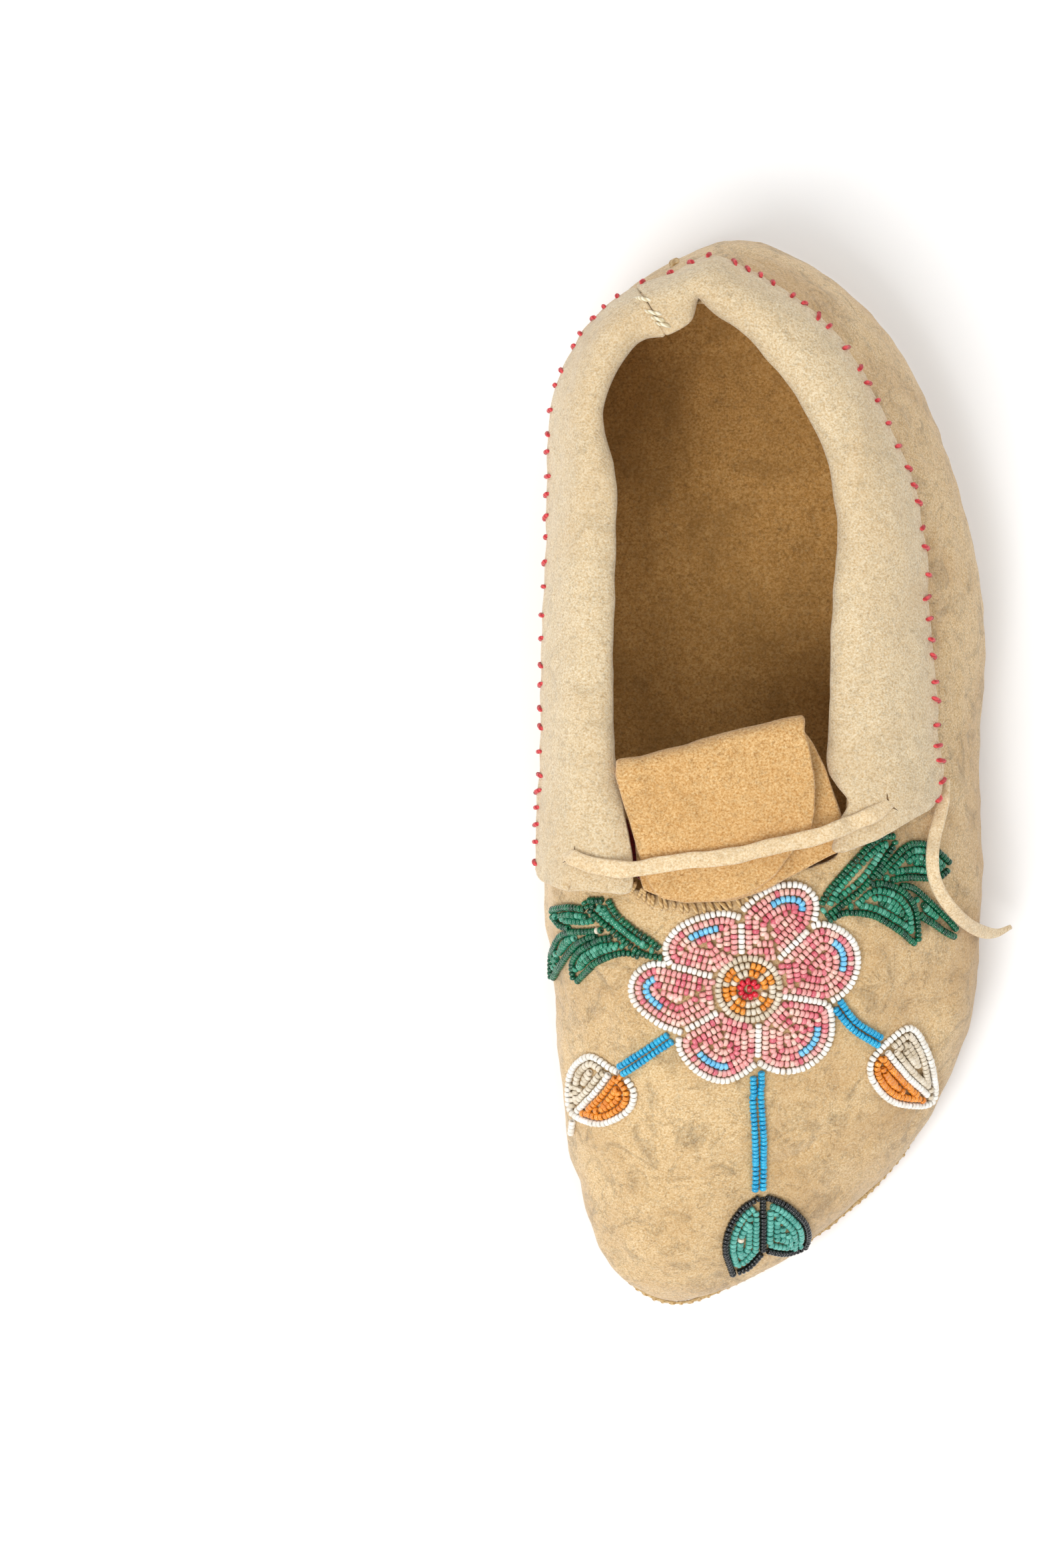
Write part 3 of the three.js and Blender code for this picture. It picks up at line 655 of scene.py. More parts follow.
edgeThread = {"spacing": 4.4 * mm, "length": 3.2 * mm, "radius": 0.55 * mm}
cuffPieces = []


def addCuff(side, settings):
    grid = cuffGrid(settings, 190)
    mesh = sheetMesh("cuff_" + side, grid, cuffThickness)
    strip = addObject("cuff_" + side + "_front", mesh, [cuffBuckskin])
    subdivide(strip, 1)
    for uneven in cuffUneven:
        rumple(strip, uneven)
    threads = edgeStitches("edge_stitches_" + side + "_front", treeOf(strip), grid, edgeThread)
    parts = (("cuff_", strip, "cuff_suede"), ("edge_thread_", threads, "red_thread"))
    for prefix, piece, slot in parts:
        heel = splitAt(piece, 1, place(0, cuffCutAt).y, piece.name.replace("_front", "_heel"))
        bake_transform(piece)
        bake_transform(heel)
        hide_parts(prefix + side + "_corner", prefix + side + "_side")
        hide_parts(prefix + side + "_heel")
        if piece is strip:
            cuffPieces.extend((piece, heel))


print("cuffs")
for side, settings in cuffs.items():
    addCuff(side, settings)
cuffTree = treeOf(*cuffPieces)


tongue = {
    "front": [(-29.4, -26.2, 61.8), (-21, -29.4, 61.8), (-8, -28.6, 61.8), (6, -23, 61.9),
              (18.8, -16.8, 62.2)],
    "fold": [(-35.6, 2.4, 67.2), (-20, 6, 67.6), (-5, 9.8, 67.6), (2, 11.6, 67.4), (8.2, 12.8, 67)],
    "middle": [(-33, -9.5, 68.2), (-21, -10.5, 70), (-7, -8, 70.2), (4.5, -4, 69.6), (13.2, -3.8, 68.6)],
    "end": [(-28.6, -22.4, 65), (-24.5, -28.6, 63.8), (-12, -29.2, 63.6), (-1, -24.9, 64),
            (9.6, -13.2, 65.4)],
    "thickness": 1.6 * mm,
    "foldRadius": 3 * mm,
    "uneven": ((1.0 * mm, 16 * mm, 5.0), (0.35 * mm, 5 * mm, 6.0)),
}


def tongueGrids(settings, across=60):
    lines = [[place(*p) for p in settings[key]] for key in ("front", "fold", "middle", "end")]
    radius = settings["foldRadius"]
    lower, upperLayer = [], []
    for i in range(across + 1):
        share = i / across
        start, fold, middle, end = [spline(line, share) for line in lines]
        back = Vector((0, -2 * mm, 0))
        knee = start.lerp(fold, 0.6)
        knee.z = start.z + 0.4 * mm
        # The lower layer is cut wider than the flap on the outer side
        knee.x += 3.4 * mm * smoothstep(0.7, 1, share) + 1.4 * mm * smoothstep(0.2, 0, share)
        foot = fold + back - up * radius
        column = []
        for t in range(17):
            u = t / 17
            column.append(start * (1 - u)**2 + knee * 2 * u * (1 - u) + foot * u * u)
        bend = []
        for degrees in range(-90, 91, 15):
            angle = math.radians(degrees)
            bend.append(fold + back + Vector((0, radius * math.cos(angle), radius * math.sin(angle))))
        head = bend[-1]
        column += bend[:7]
        lower.append(column)
        over = bend[6:-1]
        for t in range(25):
            u = t / 24
            over.append(head * (1 - u)**2 + middle * 2 * u * (1 - u) + end * u * u)
        upperLayer.append(over)
    return lower, upperLayer


def addTongue():
    lower, over = tongueGrids(tongue)
    whole = [below + above[1:] for below, above in zip(lower, over)]
    strip = addObject("tongue_flap", sheetMesh("tongue", whole, tongue["thickness"]), [tongueBuckskin])
    subdivide(strip, 1)
    for uneven in tongue["uneven"]:
        rumple(strip, uneven)
    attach(strip, "tongue")
    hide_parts("tongue")


print("tongue")
addTongue()


thong = {
    "over": [(-47.8, -17.9, 65.4), (-46, -19.2, 67.2), (-42.4, -20.6, 68.4), (-37.4, -21.6, 69),
             (-31.5, -21.8, 69.4), (-25.9, -20.9, 69.6), (-19.3, -19.9, 69.8), (-8.4, -18.7, 69.9),
             (-1, -16.9, 69.8), (9.6, -14.6, 69.5), (16, -12.5, 69.2), (20, -11, 68.8), (25.4, -8.6, 67.8),
             (30.4, -5.4, 65.6)],
    "tail": [(43.4, -0.6, 44.2), (43.2, -5.4, 44.6), (41.9, -10.4, 46.2), (40.7, -14.8, 47.9),
             (40.1, -19.4, 50.2), (40.6, -24, 49.5), (42.6, -28.4, 47.1), (45.8, -32.4, 43.4),
             (49.6, -35.6, 36.8), (53.8, -37.6, 28.8), (57.6, -38, 22), (61, -36.8, 17)],
    "width": 4 * mm,
    "tailWidth": 3.2 * mm,
    "thickness": 1.6 * mm,
    "uneven": (0.35 * mm, 6 * mm, 8.0),
    "cutAt": -10,
}


# A soft flat strip along smooth points, rounded at its edges
def strapMesh(name, points, widthAt, thickness, steps, turnAt=lambda share: 0.0, sides=14):
    vertices = []
    for i in range(steps + 1):
        share = i / steps
        centre = spline(points, share)
        along = (spline(points, share + 0.004) - spline(points, share - 0.004)).normalized()
        side = up.cross(along).normalized()
        lift = along.cross(side)
        turn = turnAt(share)
        turned = side * math.cos(turn) + lift * math.sin(turn)
        lift = lift * math.cos(turn) - side * math.sin(turn)
        side = turned
        for k in range(sides):
            angle = 2 * math.pi * k / sides
            flat = math.copysign(abs(math.cos(angle))**0.6, math.cos(angle))
            tall = math.copysign(abs(math.sin(angle))**0.6, math.sin(angle))
            vertices.append(centre + side * flat * widthAt(share) / 2 + lift * tall * thickness / 2)
    return newMesh(name, vertices, tubeFaces(0, steps + 1, sides))


def addThong():
    over = [place(*p) for p in thong["over"]]
    # Over the cuffs the thong lies on the hide, and each end goes down through a slit
    for index in (0, 1, 2, 3, -4, -3, -2, -1):
        top, _, _, _ = cuffTree.ray_cast(Vector((over[index].x, over[index].y, 0.2)), -up)
        if top:
            over[index].z = top.z + (-1.4 * mm if index in (0, -1) else thong["thickness"] * 0.62)
    # Each slit is a thin dark tube laid over the cut: painted shade, not an opening
    slits = []
    for end, beside in ((over[0], over[1]), (over[-1], over[-2])):
        out = Vector(((end - beside).x, (end - beside).y, 0)).normalized()
        path = []
        for t in (-1, -0.5, 0, 0.5, 1):
            spot = end - out * (1.7 - 0.9 * t * t) * mm + out.cross(up) * t * 2.5 * mm
            top, _, _, _ = cuffTree.ray_cast(Vector((spot.x, spot.y, 0.2)), -up)
            path.append((top or spot) - up * 0.12 * mm)
        slits.append(path)
    slit = stitchMesh("thong_slit_shade", slits, 0.27 * mm, slitShade)
    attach(slit, "shoe")

    def width(share):
        # Drawn narrow where it goes through the slits, and cut a little unevenly
        narrow = 0.35 * smoothstep(0.08, 0.0, share) + 0.4 * smoothstep(0.9, 1.0, share)
        return thong["width"] * (1 - narrow + 0.08 * noise.noise(Vector((share * 14, 0, 0))))

    mesh = strapMesh("thong", over, width, thong["thickness"], 150)
    strap = addObject("thong_medial_half", mesh, [thongBuckskin])
    rumple(strap, thong["uneven"])
    other = splitAt(strap, 0, place(thong["cutAt"], 0).x, "thong_lateral_half")
    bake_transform(strap)
    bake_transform(other)
    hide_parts("thong_medial", "thong_middle")
    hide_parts("thong_lateral")
    tail = [place(*p) for p in thong["tail"]]
    taper = lambda share: thong["tailWidth"] * (1 - 0.62 * smoothstep(0.8, 1.0, share))
    turn = lambda share: 0.9 * smoothstep(0.25, 0.05, share)
    mesh = strapMesh("tail", tail, taper, thong["thickness"], 110, turn)
    loose = addObject("thong_tail_end", mesh, [thongBuckskin])
    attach(loose, "shoe")
    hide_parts("thong_tail")


print("thong")
addThong()


cloth = {
    "line": [(-34.4, -15), (-31.6, -21), (-24, -24.6), (-12, -24), (-2, -20.8), (8, -16.8), (14, -13.5)],
    "frontHeight": 60.2,
    "backHeight": 59.6,
    "thickness": 0.9 * mm,
}


def addCloth():
    front = [place(x, y - 2, cloth["frontHeight"]) for x, y in cloth["line"]]
    back = [place(x + 1, y + 5, cloth["backHeight"]) for x, y in cloth["line"]]
    grid = [[spline(front, i / 40).lerp(spline(back, i / 40), j / 8) for j in range(9)] for i in range(41)]
    piece = addObject("throat_cloth", sheetMesh("cloth", grid, cloth["thickness"]), [redWool])
    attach(piece, "shoe")
    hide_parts("throat_binding")


throatSeam = {
    "line": [(-33, -24.6, 60.6), (-30, -27.6, 60.4), (-26, -29.4, 60.2), (-21, -30.6, 60.2),
             (-15, -30.9, 60.2), (-9, -30, 60.2), (-4, -28.4, 60.3)],
    "inward": 1.5 * mm,
    "outward": 2 * mm,
    "spacing": 1.5 * mm,
    "radius": 0.5 * mm,
    "lift": 0.6 * mm,
    "seed": 3,
}


# Rough slanting stitches over the edge where the tongue joins the upper
def addThroatStitches():
    chance = random.Random(throatSeam["seed"])
    line = [place(*p) for p in throatSeam["line"]]
    length = sum((b - a).length for a, b in zip(line, line[1:]))
    count = int(length / throatSeam["spacing"])
    paths = []
    for i in range(count):
        share = (i + chance.uniform(-0.4, 0.4)) / count
        reachIn = throatSeam["inward"] * chance.uniform(0.6, 1.2)
        reachOut = throatSeam["outward"] * chance.uniform(0.5, 1.2)
        slant = throatSeam["spacing"] * chance.uniform(0.1, 0.7)
        here = spline(line, share)
        ahead = (spline(line, share + 0.01) - spline(line, share - 0.01)).normalized()
        side = ahead.cross(up).normalized()
        path = []
        for t in (-1, -0.6, 0, 0.6, 1):
            spot = here + side * t * (reachOut if t > 0 else reachIn) + ahead * t * slant
            ground, normal = onUpper(spot.x, spot.y)
            height = throatSeam["lift"] * (1.15 - t * t)
            base = ground.z if abs(ground.z - here.z) < 4 * mm else here.z
            path.append(Vector((spot.x, spot.y, base + height)))
        paths.append(path)
    seam = stitchMesh("throat_stitches", paths, throatSeam["radius"], throatThread)
    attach(seam, "shoe")
    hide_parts("throat_thread")


# The outside of the upper's wall, looked for from outside at this height
def onWall(x, y, z, middle):
    inward = Vector((middle.x - x, middle.y - y, 0)).normalized()
    start = Vector((x, y, z)) - inward * 0.05
    point, normal, _, _ = upperTree.ray_cast(start, inward)
    return point, normal, inward


heelSeam = {"spacing": (1.9, 2.5), "slant": (0.6, 1.3), "reach": 1.5 * mm, "radius": 0.33 * mm,
            "clearOfCuff": 5 * mm, "seed": 21}


def addHeelStitches():
    low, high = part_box("heel_seam")
    x = (low[0] + high[0]) / 2
    middle = Vector((x, 0, 0))
    chance = random.Random(heelSeam["seed"])
    paths = []
    z = low[2] - 2 * mm
    while z < high[2] - heelSeam["clearOfCuff"]:
        point, normal, inward = onWall(x, high[1], z, middle)
        if point:
            side = inward.cross(up)
            tilt = chance.uniform(*heelSeam["slant"]) * mm
            path = []
            for t in (-1, -0.6, 0, 0.6, 1):
                spot, _, _, _ = upperTree.find_nearest(point + side * t * heelSeam["reach"] + up * t * tilt)
                path.append(spot - inward * (0.3 - 0.45 * abs(t)**3) * mm)
            paths.append(path)
        z += chance.uniform(*heelSeam["spacing"]) * mm
    seam = stitchMesh("heel_stitches", paths, heelSeam["radius"], sinew)
    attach(seam, "shoe")
    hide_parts("heel_seam")


soleSeam = {"spacing": (2.1, 2.8), "slant": (0.5, 1.1), "reach": 2 * mm, "radius": 0.26 * mm,
            "tuckedIn": 0.35 * mm, "uneven": (0.3 * mm, 4 * mm, 3.0), "seed": 22}


# Whip stitches that gather the upper's edge onto the sole, over the sole's cut edge
def addSoleStitches():
    low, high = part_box("sole_seam")
    rim = frame["nodes"]["sole_seam"].data.vertices
    middle = Vector(((low[0] + high[0]) / 2, 0, 0))
    height = (low[2] + high[2]) / 2
    outline = []
    for k in range(360):
        angle = 2 * math.pi * k / 360
        facing = Vector((math.cos(angle), math.sin(angle), 0))
        outline.append(max((v.co for v in rim if (v.co - middle).xy.normalized().dot(facing.xy) > 0.9994),
                           key=lambda co: (co - middle).dot(facing), default=None))
    outline = [point.copy() for point in outline if point]
    welt = softCopy("sole_seam", "sole_welt", [soleEdge], 1)
    for vertex in welt.data.vertices:
        outward = Vector((vertex.co.x - middle.x, vertex.co.y, 0)).normalized()
        vertex.co -= outward * soleSeam["tuckedIn"]
    rumple(welt, soleSeam["uneven"])
    seamTree = treeOf(upper, sole, welt)
    chance = random.Random(soleSeam["seed"])
    paths, walked, nextStitch = [], 0.0, 0.0
    for k, point in enumerate(outline):
        following = outline[(k + 1) % len(outline)]
        step = (following - point).xy.length
        while walked + step > nextStitch and step > 0:
            here = point.lerp(following, (nextStitch - walked) / step)
            ahead = Vector(((following - point).x, (following - point).y, 0)).normalized()
            outward = ahead.cross(up)
            lean = ahead * chance.uniform(*soleSeam["slant"]) * mm
            path = []
            for t in (-1, -0.6, -0.2, 0.2, 0.6, 1):
                spot = Vector((here.x, here.y, height)) + up * t * soleSeam["reach"] + lean * t
                spot += outward * 0.2 * mm
                ground, _, _, _ = seamTree.find_nearest(spot)
                path.append(ground + outward * (0.08 - 0.3 * abs(t)**3) * mm)
            paths.append(path)
            nextStitch += chance.uniform(*soleSeam["spacing"]) * mm
        walked += step
    threads = stitchMesh("sole_stitches", paths, soleSeam["radius"], sinew)
    for piece in (welt, threads):
        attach(piece, "shoe")
        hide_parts("sole_seam")


# Each stitch: x, y and half its length
backSeam = {
    "stitches": [(-29.6, 113.4, 2), (-28.7, 111.8, 1.7), (-27.2, 110, 2.1), (-26.1, 108.5, 1.8),
                 (-24.9, 107.2, 1.9)],
    "radius": 0.5 * mm,
}


# Cream stitches that close the two cuffs' ends over the heel
def addBackStitches():
    paths = []
    for x, y, reach in backSeam["stitches"]:
        path = []
        for t in (-1, -0.5, 0, 0.5, 1):
            spot = place(x + t * reach, y - t * 0.5)
            top, normal, _, _ = cuffTree.ray_cast(Vector((spot.x, spot.y, 0.2)), -up)
            if top:
                path.append(top + up * (0.5 - 0.75 * t * t) * mm)
        if len(path) == 5:
            paths.append(path)
    back = stitchMesh("cuff_back_stitches", paths, backSeam["radius"], creamCotton)
    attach(back, "shoe")
    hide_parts("cuff_back_thread")


print("seams")
addCloth()
addThroatStitches()
addHeelStitches()
addSoleStitches()
addBackStitches()


# Seat is how much of its own radius a bead's centre stands above the hide
beads = {"radius": 0.9 * mm, "length": 1.16 * mm, "pitch": 1.24 * mm, "lane": 1.73 * mm, "seat": 0.92,
         "sides": 12}

glass = {
    "white": glassBead("whiteSeedBead", "#f4f1ea", "#e3dcd0"),
    "rose": glassBead("roseSeedBead", "#e27f88", "#cc5a6b"),
    "pink": glassBead("pinkSeedBead", "#ecaea8", "#df9490"),
    "blush": glassBead("blushSeedBead", "#efcabb", "#e4b3a5"),
    "sky": glassBead("skyBlueSeedBead", "#7fcdf0", "#5fb4e0"),
    "blue": glassBead("turquoiseBlueSeedBead", "#2cb0d8", "#1496c6"),
    "red": glassBead("redSeedBead", "#e0213a", "#b80f28"),
    "orange": glassBead("orangeSeedBead", "#ee9a36", "#d67b1e"),
    "crystal": glassBead("crystalSeedBead", "#e2d6c2", "#c9b99e"),
    "black": glassBead("blackSeedBead", "#181b1c", "#0a0c0d"),
    "teal": glassBead("tealSeedBead", "#62b3a4", "#429486"),
    "deepGreen": glassBead("deepGreenSeedBead", "#0b6a48", "#053f2a"),
    "green": glassBead("greenSeedBead", "#2f8f70", "#0f6a4c"),
    "paleGreen": glassBead("paleGreenSeedBead", "#5aa78e", "#2b8468"),
}
colours = list(glass)
strung = {}
taken = {}
chance = random.Random(11)


def cell(point):
    return tuple(int(math.floor(c / (2 * mm))) for c in point)


def isFree(point, gap):
    x, y, z = cell(point)
    for a in (x - 1, x, x + 1):
        for b in (y - 1, y, y + 1):
            for c in (z - 1, z, z + 1):
                if any((point - other).length < gap for other in taken.get((a, b, c), ())):
                    return False
    return True


# Threads beads at even steps along a plan line laid on the upper; colourAt(point, index) names the glass
def stringBeads(group, line, colourAt, gap=1.5 * mm, squeeze=1.0):
    lifted = []
    for a, b in zip(line, line[1:]):
        pieces = max(int((b - a).length / (0.35 * mm)), 1)
        lifted += [a.lerp(b, k / pieces) for k in range(pieces)]
    lifted.append(line[-1])
    surface = [onUpper(p.x, p.y) for p in lifted]
    pitch = beads["pitch"] * squeeze
    walked, nextBead = 0.0, pitch / 2
    laid = []
    for (a, normalA), (b, normalB) in zip(surface, surface[1:]):
        step = (b - a).length
        if step < 1e-7 or step > 3 * mm:
            continue
        while walked + step >= nextBead:
            share = (nextBead - walked) / step
            normal = normalA.lerp(normalB, share).normalized()
            centre = a.lerp(b, share) + normal * beads["radius"] * beads["seat"]
            if isFree(centre, gap):
                laid.append((centre, (b - a).normalized(), normal))
            nextBead += pitch * chance.uniform(0.97, 1.05)
        walked += step
    if len(laid) > 3 and (laid[-1][0] - laid[0][0]).length < 0.8 * pitch:
        laid.pop()
    members = strung.setdefault(group, [])
    for index, (centre, along, normal) in enumerate(laid):
        members.append((centre, along, normal, colours.index(colourAt(centre, index)), squeeze))
        taken.setdefault(cell(centre), []).append(centre)


def isInside(outline, x, y):
    inside = False
    for a, b in zip(outline, outline[1:] + outline[:1]):
        if (a.y > y) != (b.y > y) and x < (b.x - a.x) * (y - a.y) / (b.y - a.y) + a.x:
            inside = not inside
    return inside


# The closed outline moved inwards, without the stretches that would cross themselves
def insetLoop(outline, distance):
    count = len(outline)
    area = sum(a.x * b.y - b.x * a.y for a, b in zip(outline, outline[1:] + outline[:1]))
    turn = 1 if area > 0 else -1
    inner = []
    for i, point in enumerate(outline):
        along = outline[(i + 1) % count] - outline[i - 1]
        if along.length < 1e-9:
            continue
        inward = Vector((-along.y, along.x, 0)).normalized() * turn
        moved = point + inward * distance
        clear = min((moved - other).length for other in outline) > distance - 0.06 * mm
        if clear and isInside(outline, moved.x, moved.y):
            inner.append(moved)
    return inner


def dense(points, closed=False, smooth=True, step=0.4 * mm):
    line = points + points[:1] if closed else points
    if smooth:
        steps = max(int(sum((b - a).length for a, b in zip(line, line[1:])) / step), 4)
        return [spline(line, i / steps) for i in range(steps + (0 if closed else 1))]
    out = []
    for a, b in zip(line, line[1:]):
        pieces = max(int((b - a).length / step), 1)
        out += [a.lerp(b, k / pieces) for k in range(pieces)]
    return out if closed else out + [line[-1]]


# Rows of beads one inside the other, from the outline to the middle
def fillLanes(group, outline, first, colourOf, most=9):
    for lane in range(most):
        loop = insetLoop(outline, first + lane * beads["lane"])
        if len(loop) < 6:
            return
        runs, run = [], [loop[0]]
        for a, b in zip(loop, loop[1:]):
            if (b - a).length > 1.4 * mm:
                runs.append(run)
                run = []
            run.append(b)
        runs.append(run)
        for run in runs:
            if len(run) > 3:
                stringBeads(group, run, lambda p, k, lane=lane: colourOf(p, lane), beads["lane"] * 0.66)


# Single beads in what the rows leave bare, turned like the nearest bead
def plugGaps(group, outline, colourOf, gap):
    members = strung[group]
    lowX, highX = min(p.x for p in outline), max(p.x for p in outline)
    lowY, highY = min(p.y for p in outline), max(p.y for p in outline)
    step = 0.45 * mm
    for i in range(int((highX - lowX) / step)):
        for j in range(int((highY - lowY) / step)):
            x, y = lowX + i * step, lowY + j * step
            if not isInside(outline, x, y):
                continue
            ground, normal = onUpper(x, y)
            centre = ground + normal * beads["radius"] * beads["seat"]
            if isFree(centre, gap):
                near = min(members, key=lambda member: (member[0] - centre).length)
                ahead = (near[1] - normal * near[1].dot(normal)).normalized()
                members.append((centre, ahead, normal, colours.index(colourOf(centre, 9)), 1.0))
                taken.setdefault(cell(centre), []).append(centre)


def inPlan(points):
    return [place(x, y) for x, y in points]


flower = {
    "centre": (-4.1, -50.4),
    "orangeAngles": (143, 65, 22, -40, -113, 195),
    "spokes": [((-5.8, -43.2), (-6.1, -33.4)), ((-12.3, -47.6), (-22.4, -45)),
               ((-11.3, -55.9), (-20.1, -60.9)), ((-1.7, -58.3), (-1.8, -68.1)),
               ((4.4, -52.1), (14.4, -53.9)), ((3.2, -43), (10.9, -35.5))],
    "arcs": {
        "petal_top": [(-5.6, -31.6), (-2.1, -28.5), (2, -26.2), (5.7, -25.6), (9, -26.2), (11.3, -28.4),
                      (11.9, -31), (11.5, -33.4)],
        "petal_upper_medial": [(-9.8, -32.3), (-13.4, -32.7), (-17.5, -34), (-21.1, -36.1), (-23.3, -38.7),
                               (-23.9, -41.3), (-23.3, -43.5)],
        "petal_lower_medial": [(-25.9, -44.4), (-29.2, -45.6), (-31.2, -47.9), (-31.8, -50.8), (-30.7, -54.2),
                               (-27.7, -57.1), (-24.1, -59.4)],
        "petal_bottom_medial": [(-20.6, -63.9), (-19.3, -67), (-16.7, -69.9), (-13.1, -72), (-9.4, -72.6),
                                (-5.4, -71)],
        "petal_bottom_lateral": [(1.6, -69.9), (5.7, -70.5), (10.1, -69.2), (13.7, -66.3), (15.6, -62.6),
                                 (15.9, -58.2), (15.4, -55.6)],
        "petal_upper_lateral": [(18.1, -51.8), (20.8, -48.6), (21.8, -44.2), (21.1, -40.2), (18.9, -37.2),
                                (15.2, -35.2), (12.9, -34.9)],
    },
    "rings": (1.85, 3.75, 5.6, 7.4),
    "glints": {"petal_top": (4.9, -30.7), "petal_upper_medial": (-14.7, -37.6),
               "petal_lower_medial": (-26.3, -52), "petal_bottom_medial": (-12.9, -68.4),
               "petal_bottom_lateral": (10.8, -63.4), "petal_upper_lateral": (17, -43)},
    "glintReach": 3.9 * mm,
}


def addFlower():
    middle = place(*flower["centre"])

    def ringColour(point, lane):
        angle = math.degrees(math.atan2(point.y - middle.y, point.x - middle.x))
        near = min(abs((angle - a + 180) % 360 - 180) for a in flower["orangeAngles"])
        return "orange" if near < 17 and lane < 2 else "crystal"

    heart = [middle - Vector((0.4 * mm, 0, 0)), middle + Vector((0.75 * mm, 0, 0))]
    stringBeads("flower_centre", heart, lambda p, k: "red")
    for lane, radius in enumerate(flower["rings"]):
        circle = [middle + Vector((math.cos(a), math.sin(a), 0)) * radius * mm
                  for a in (2 * math.pi * k / 90 for k in range(91))]
        stringBeads("flower_centre", circle,
                    (lambda p, k, lane=lane: "red" if lane == 0 else ringColour(p, lane - 1)), 1.3 * mm)
    names = list(flower["arcs"])
    # Spoke k lies between petal k - 1 and petal k, going from the top petal round by the inner side
    order = ["petal_upper_medial", "petal_lower_medial", "petal_bottom_medial", "petal_bottom_lateral",
             "petal_upper_lateral", "petal_top"]
    spokes = [[place(*inner), place(*outer)] for inner, outer in flower["spokes"]]
    petals = {}
    for k, name in enumerate(order):
        first, second = spokes[k], spokes[(k + 1) % 6]
        arc = inPlan(flower["arcs"][name])
        if name == "petal_top":
            arc = arc[::-1]
        rim = dense([first[1]] + arc + [second[1]])
        wayOut = dense([first[0], first[1]], smooth=False)[:-1]
        petals[name] = wayOut + rim + dense(second[::-1], smooth=False)[1:]
        stringBeads(name, rim, lambda p, n: "white", 1.2 * mm)
    for k, name in enumerate(order):
        stringBeads(name, spokes[k][::-1], lambda p, n: "white", 1.25 * mm)
    for name in names:
        glint = place(*flower["glints"][name])

        def pinks(point, lane, glint=glint):
            if lane == 1 and (point - glint).xy.length < flower["glintReach"]:
                return "sky"
            return chance.choices(("rose", "pink", "blush"), (3, 6, 3))[0]

        ring = petals[name]
        closing = dense([ring[-1], ring[0]], smooth=False)[1:-1]
        fillLanes(name, ring + closing, beads["lane"], pinks)
        plugGaps(name, ring + closing, pinks, 1.42 * mm)


# Each stem is two threads of blue beads, side by side
stems = {
    "stem_toe": [[(-2.9, -71.6), (-2.8, -78), (-2.1, -89), (-2, -100)],
                 [(-1, -70.4), (-0.8, -78), (-0.1, -89), (-0.2, -99.4)]],
    "stem_medial": [[(-22.3, -60.9), (-28.5, -65.3), (-34.6, -69.6)],
                    [(-21.2, -62.4), (-27.4, -66.8), (-33.6, -71.2)]],
    "stem_lateral": [[(17.7, -53.2), (22, -58.6), (28.4, -62.9)],
                     [(16.1, -54.4), (20.7, -60.1), (27.3, -64.5)]],
}


def addStems():
    for name, lanes in stems.items():
        for lane in lanes:
            stringBeads(name, dense(inPlan(lane)), lambda p, n: "blue", 1.4 * mm, 0.86)


buds = {
    "bud_medial": {
        "outline": [(-36.6, -70), (-41.3, -67.3), (-45.3, -70.6), (-46.4, -76.2), (-45.2, -81.7),
                    (-38.6, -83.6), (-32.5, -80.2), (-31.1, -75.4), (-33.8, -71.4)],
        "median": [(-36.8, -71.4), (-40.2, -76.2), (-44.2, -80.6)],
        "tip": [(-45.4, -83.2), (-45.7, -86.6)],
        "pale": "bud_medial_crystal", "orange": "bud_medial_orange", "inPale": (-45, -70),
    },
    "bud_lateral": {
        "outline": [(28.8, -64.4), (34.8, -60.4), (39.3, -65.6), (41.4, -72), (41.6, -78.6), (36.6, -79.6),
                    (30.4, -77.9), (26.2, -73), (25.6, -68.4)],
        "median": [(29.4, -66), (34, -71.4), (40, -77.2)],
        "tip": [],
        "pale": "bud_lateral_crystal", "orange": "bud_lateral_orange", "inPale": (40, -66),
    },
}


def addBuds():
    for settings in buds.values():
        loop = dense(inPlan(settings["outline"]), closed=True)
        median = dense(inPlan(settings["median"]))
        pale, orange = settings["pale"], settings["orange"]
        start, end = median[0], median[-1]
        across = Vector((-(end - start).y, (end - start).x, 0))
        sign = 1 if (place(*settings["inPale"]) - start).dot(across) > 0 else -1
        isPale = lambda p: (p - start).dot(across) * sign > 0
        stringBeads(pale, loop + loop[:1], lambda p, n: "white", 1.2 * mm)
        stringBeads(orange, median, lambda p, n: "white", 1.25 * mm)
        if settings["tip"]:
            stringBeads(orange, dense(inPlan(settings["tip"])), lambda p, n: "white", 1.0 * mm)
        for group, wanted, colour in ((pale, True, "crystal"), (orange, False, "orange")):
            half = [p for p in loop if isPale(p) == wanted]
            jump = max(range(len(half)), key=lambda k: (half[k] - half[k - 1]).length)
            half = half[jump:] + half[:jump]
            ends = median if (median[0] - half[-1]).length < (median[-1] - half[-1]).length else median[::-1]
            fillLanes(group, half + ends, beads["lane"], lambda p, lane, c=colour: c)
            plugGaps(group, half + ends, lambda p, lane, c=colour: c, 1.42 * mm)


toeLeaf = {
    "toe_leaf_medial": [(-0.9, -101.4), (-5.4, -104.6), (-8.4, -109.7), (-8.9, -115.4), (-7, -120.8)],
    "toe_leaf_lateral": [(0.7, -101.4), (5.4, -103.4), (9.8, -107.6), (11.2, -111.6), (10.6, -114.6)],
}
toeMedian = [(-0.1, -101.6), (0.1, -108.5), (0.2, -115)]
toeEnds = {"toe_leaf_medial": [(-7, -120.8), (-3, -119), (-0.1, -115.6)],
           "toe_leaf_lateral": [(10.6, -114.6), (6.2, -115.9), (0.7, -114.8)]}


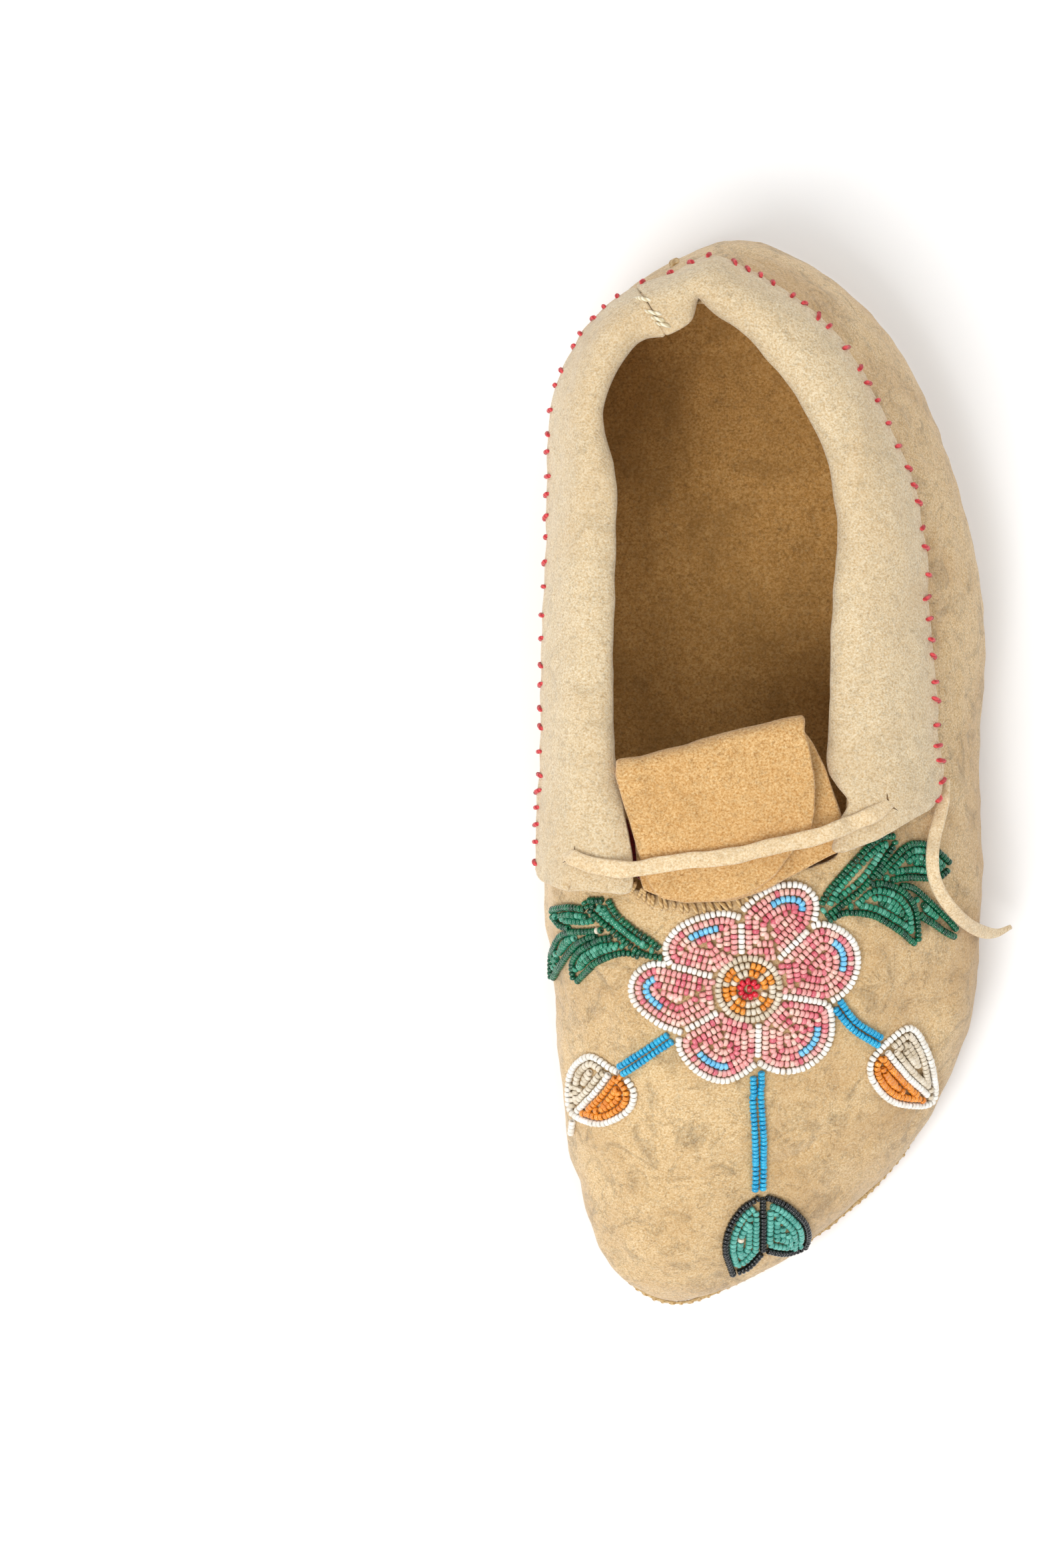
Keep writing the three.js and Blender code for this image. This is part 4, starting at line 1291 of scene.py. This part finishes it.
def addToeLeaf():
    median = dense(inPlan(toeMedian))
    stringBeads("toe_leaf_medial", median, lambda p, n: "black", 1.15 * mm, 0.86)
    for name, side in toeLeaf.items():
        edge = dense(inPlan(side))
        end = dense(inPlan(toeEnds[name]))
        stringBeads(name, edge, lambda p, n: "black", 1.15 * mm, 0.86)
        stringBeads(name, end, lambda p, n: "black", 1.15 * mm, 0.86)
        outline = edge + end[1:] + median[::-1]
        fillLanes(name, outline, beads["lane"], lambda p, lane: "teal")
        plugGaps(name, outline, lambda p, lane: "teal", 1.42 * mm)


# Each spray is a few curved blades, given by the two edges of every blade from its base to its tip
sprays = {
    "green_leaf_lateral": [
        ([(12.2, -33.6), (14.1, -27.9), (17.7, -23.2), (22.4, -17.9), (26.5, -14.6), (30.2, -14)],
         [(14, -33.4), (19, -29.6), (23.4, -25.8), (26.5, -21.8), (28.6, -18.5), (30.6, -16)]),
        ([(19.6, -29.6), (24.6, -25.6), (29.1, -25.8), (33.2, -28), (35.9, -32.4), (36.7, -39)],
         [(14.6, -34.2), (19.1, -32.3), (25.1, -32.8), (29.8, -35.2), (33, -37.6), (35.8, -39.8)]),
        ([(26.2, -24), (29.1, -20.6), (32.5, -17), (35.8, -15.8), (39.9, -16.9), (44.5, -20.8)],
         [(27.8, -25), (31.5, -24.3), (34.8, -23.9), (38, -24.1), (41.4, -24.2), (44.3, -22)]),
        ([(31, -26), (34.5, -26.4), (37.6, -28.4), (41, -31.4), (43.9, -34.2), (46.3, -36.8)],
         [(33.5, -28.6), (35.6, -30.8), (37.6, -33.6), (40.6, -35.4), (43.4, -37.2), (45.9, -38.4)]),
    ],
    "green_leaf_medial": [
        ([(-24.4, -41.7), (-27.4, -38.9), (-31.2, -36.3), (-35.2, -32.7), (-37.6, -28.8)],
         [(-24.6, -43), (-29.3, -42), (-33.6, -38.9), (-37.8, -35.4), (-41.1, -32.2), (-43.3, -29.2)]),
        ([(-34.4, -38.4), (-37, -38.2), (-40.3, -39.2), (-43.9, -41.7), (-45.6, -45), (-45.2, -48.8)],
         [(-24.8, -43.8), (-27.6, -43.6), (-32.1, -41.9), (-35.9, -42.3), (-39.8, -44.2), (-42.2, -46.5),
          (-44.5, -49.2)]),
        ([(-38.6, -36.4), (-42, -36.8), (-46.2, -37), (-48.7, -38.5), (-50.1, -41.8), (-50.6, -45),
          (-50.5, -48.6)],
         [(-39.2, -37.8), (-41.5, -38.2), (-44.4, -39.9), (-46.7, -42.7), (-48.7, -46.2), (-50, -48.8)]),
        ([(-41.8, -31.4), (-46.2, -31.1), (-50.4, -31.8)],
         [(-39.6, -35.4), (-42.4, -36), (-45.4, -36), (-48.4, -35.6), (-50.2, -33.6)]),
    ],
}


def addSprays():
    greens = lambda p, lane: chance.choices(("green", "paleGreen", "deepGreen"), (6, 3, 1))[0]
    for name, blades in sprays.items():
        for left, right in blades:
            left, right = dense(inPlan(left)), dense(inPlan(right))
            outline = left + dense([left[-1], right[-1]], smooth=False)[1:-1] + right[::-1]
            for edge in (left, right, dense([left[-1], right[-1]], smooth=False)):
                stringBeads(name, edge, lambda p, n: "deepGreen", 1.1 * mm, 0.88)
            fillLanes(name, outline, beads["lane"], greens, 5)
            plugGaps(name, outline, greens, 1.5 * mm)


# Two odd pale beads lie in the real beadwork, one in the inner spray and one in the toe leaf
strays = {"green_leaf_medial": (-40.4, -36.0), "toe_leaf_medial": (-4.3, -113.1)}


def addStrays():
    for group, spot in strays.items():
        point = place(*spot)
        members = strung[group]
        nearest = min(range(len(members)), key=lambda k: (members[k][0] - point).xy.length)
        centre, along, normal, _, squeeze = members[nearest]
        members[nearest] = (centre, along, normal, colours.index("crystal"), squeeze)


# Turns each group's list of beads into one mesh of small rounded rings
def makeBeads():
    radius, length, sides = beads["radius"], beads["length"], beads["sides"]
    # Along the hole and out from it, from one end over the outside to the other and back through the hole
    profile = [(-0.5, 0.45), (-0.44, 0.78), (-0.22, 0.97), (0.22, 0.97), (0.44, 0.78), (0.5, 0.45), (0, 0.3)]
    for group, members in strung.items():
        points, faces, looks = [], [], []
        for centre, along, normal, colour, squeeze in members:
            side = along.cross(normal).normalized()
            tall = side.cross(along).normalized()
            lean = chance.uniform(-0.09, 0.09)
            axis = (along + side * lean).normalized()
            side = axis.cross(tall).normalized()
            size = chance.uniform(0.95, 1.04)
            base = len(points)
            for a, r in profile:
                for k in range(sides):
                    angle = 2 * math.pi * k / sides
                    reach = (side * math.cos(angle) + tall * math.sin(angle)) * r * radius * size
                    points.append(centre + axis * a * length * squeeze + reach)
            rows = len(profile)
            for row in range(rows):
                for k in range(sides):
                    low = base + row * sides
                    high = base + ((row + 1) % rows) * sides
                    step = (k + 1) % sides
                    faces.append((low + k, low + step, high + step, high + k))
                    looks.append(colour)
        mesh = newMesh(group, points, faces)
        used = sorted(set(looks))
        piece = addObject("beads_" + group, mesh, [glass[colours[k]] for k in used])
        mesh.polygons.foreach_set("material_index", [used.index(k) for k in looks])
        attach(piece, "shoe")
        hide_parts(group)
        print(group, len(members), "beads")


print("beadwork")
addFlower()
addStems()
addBuds()
addToeLeaf()
addSprays()
addStrays()
makeBeads()

addCamera()
addStudio()
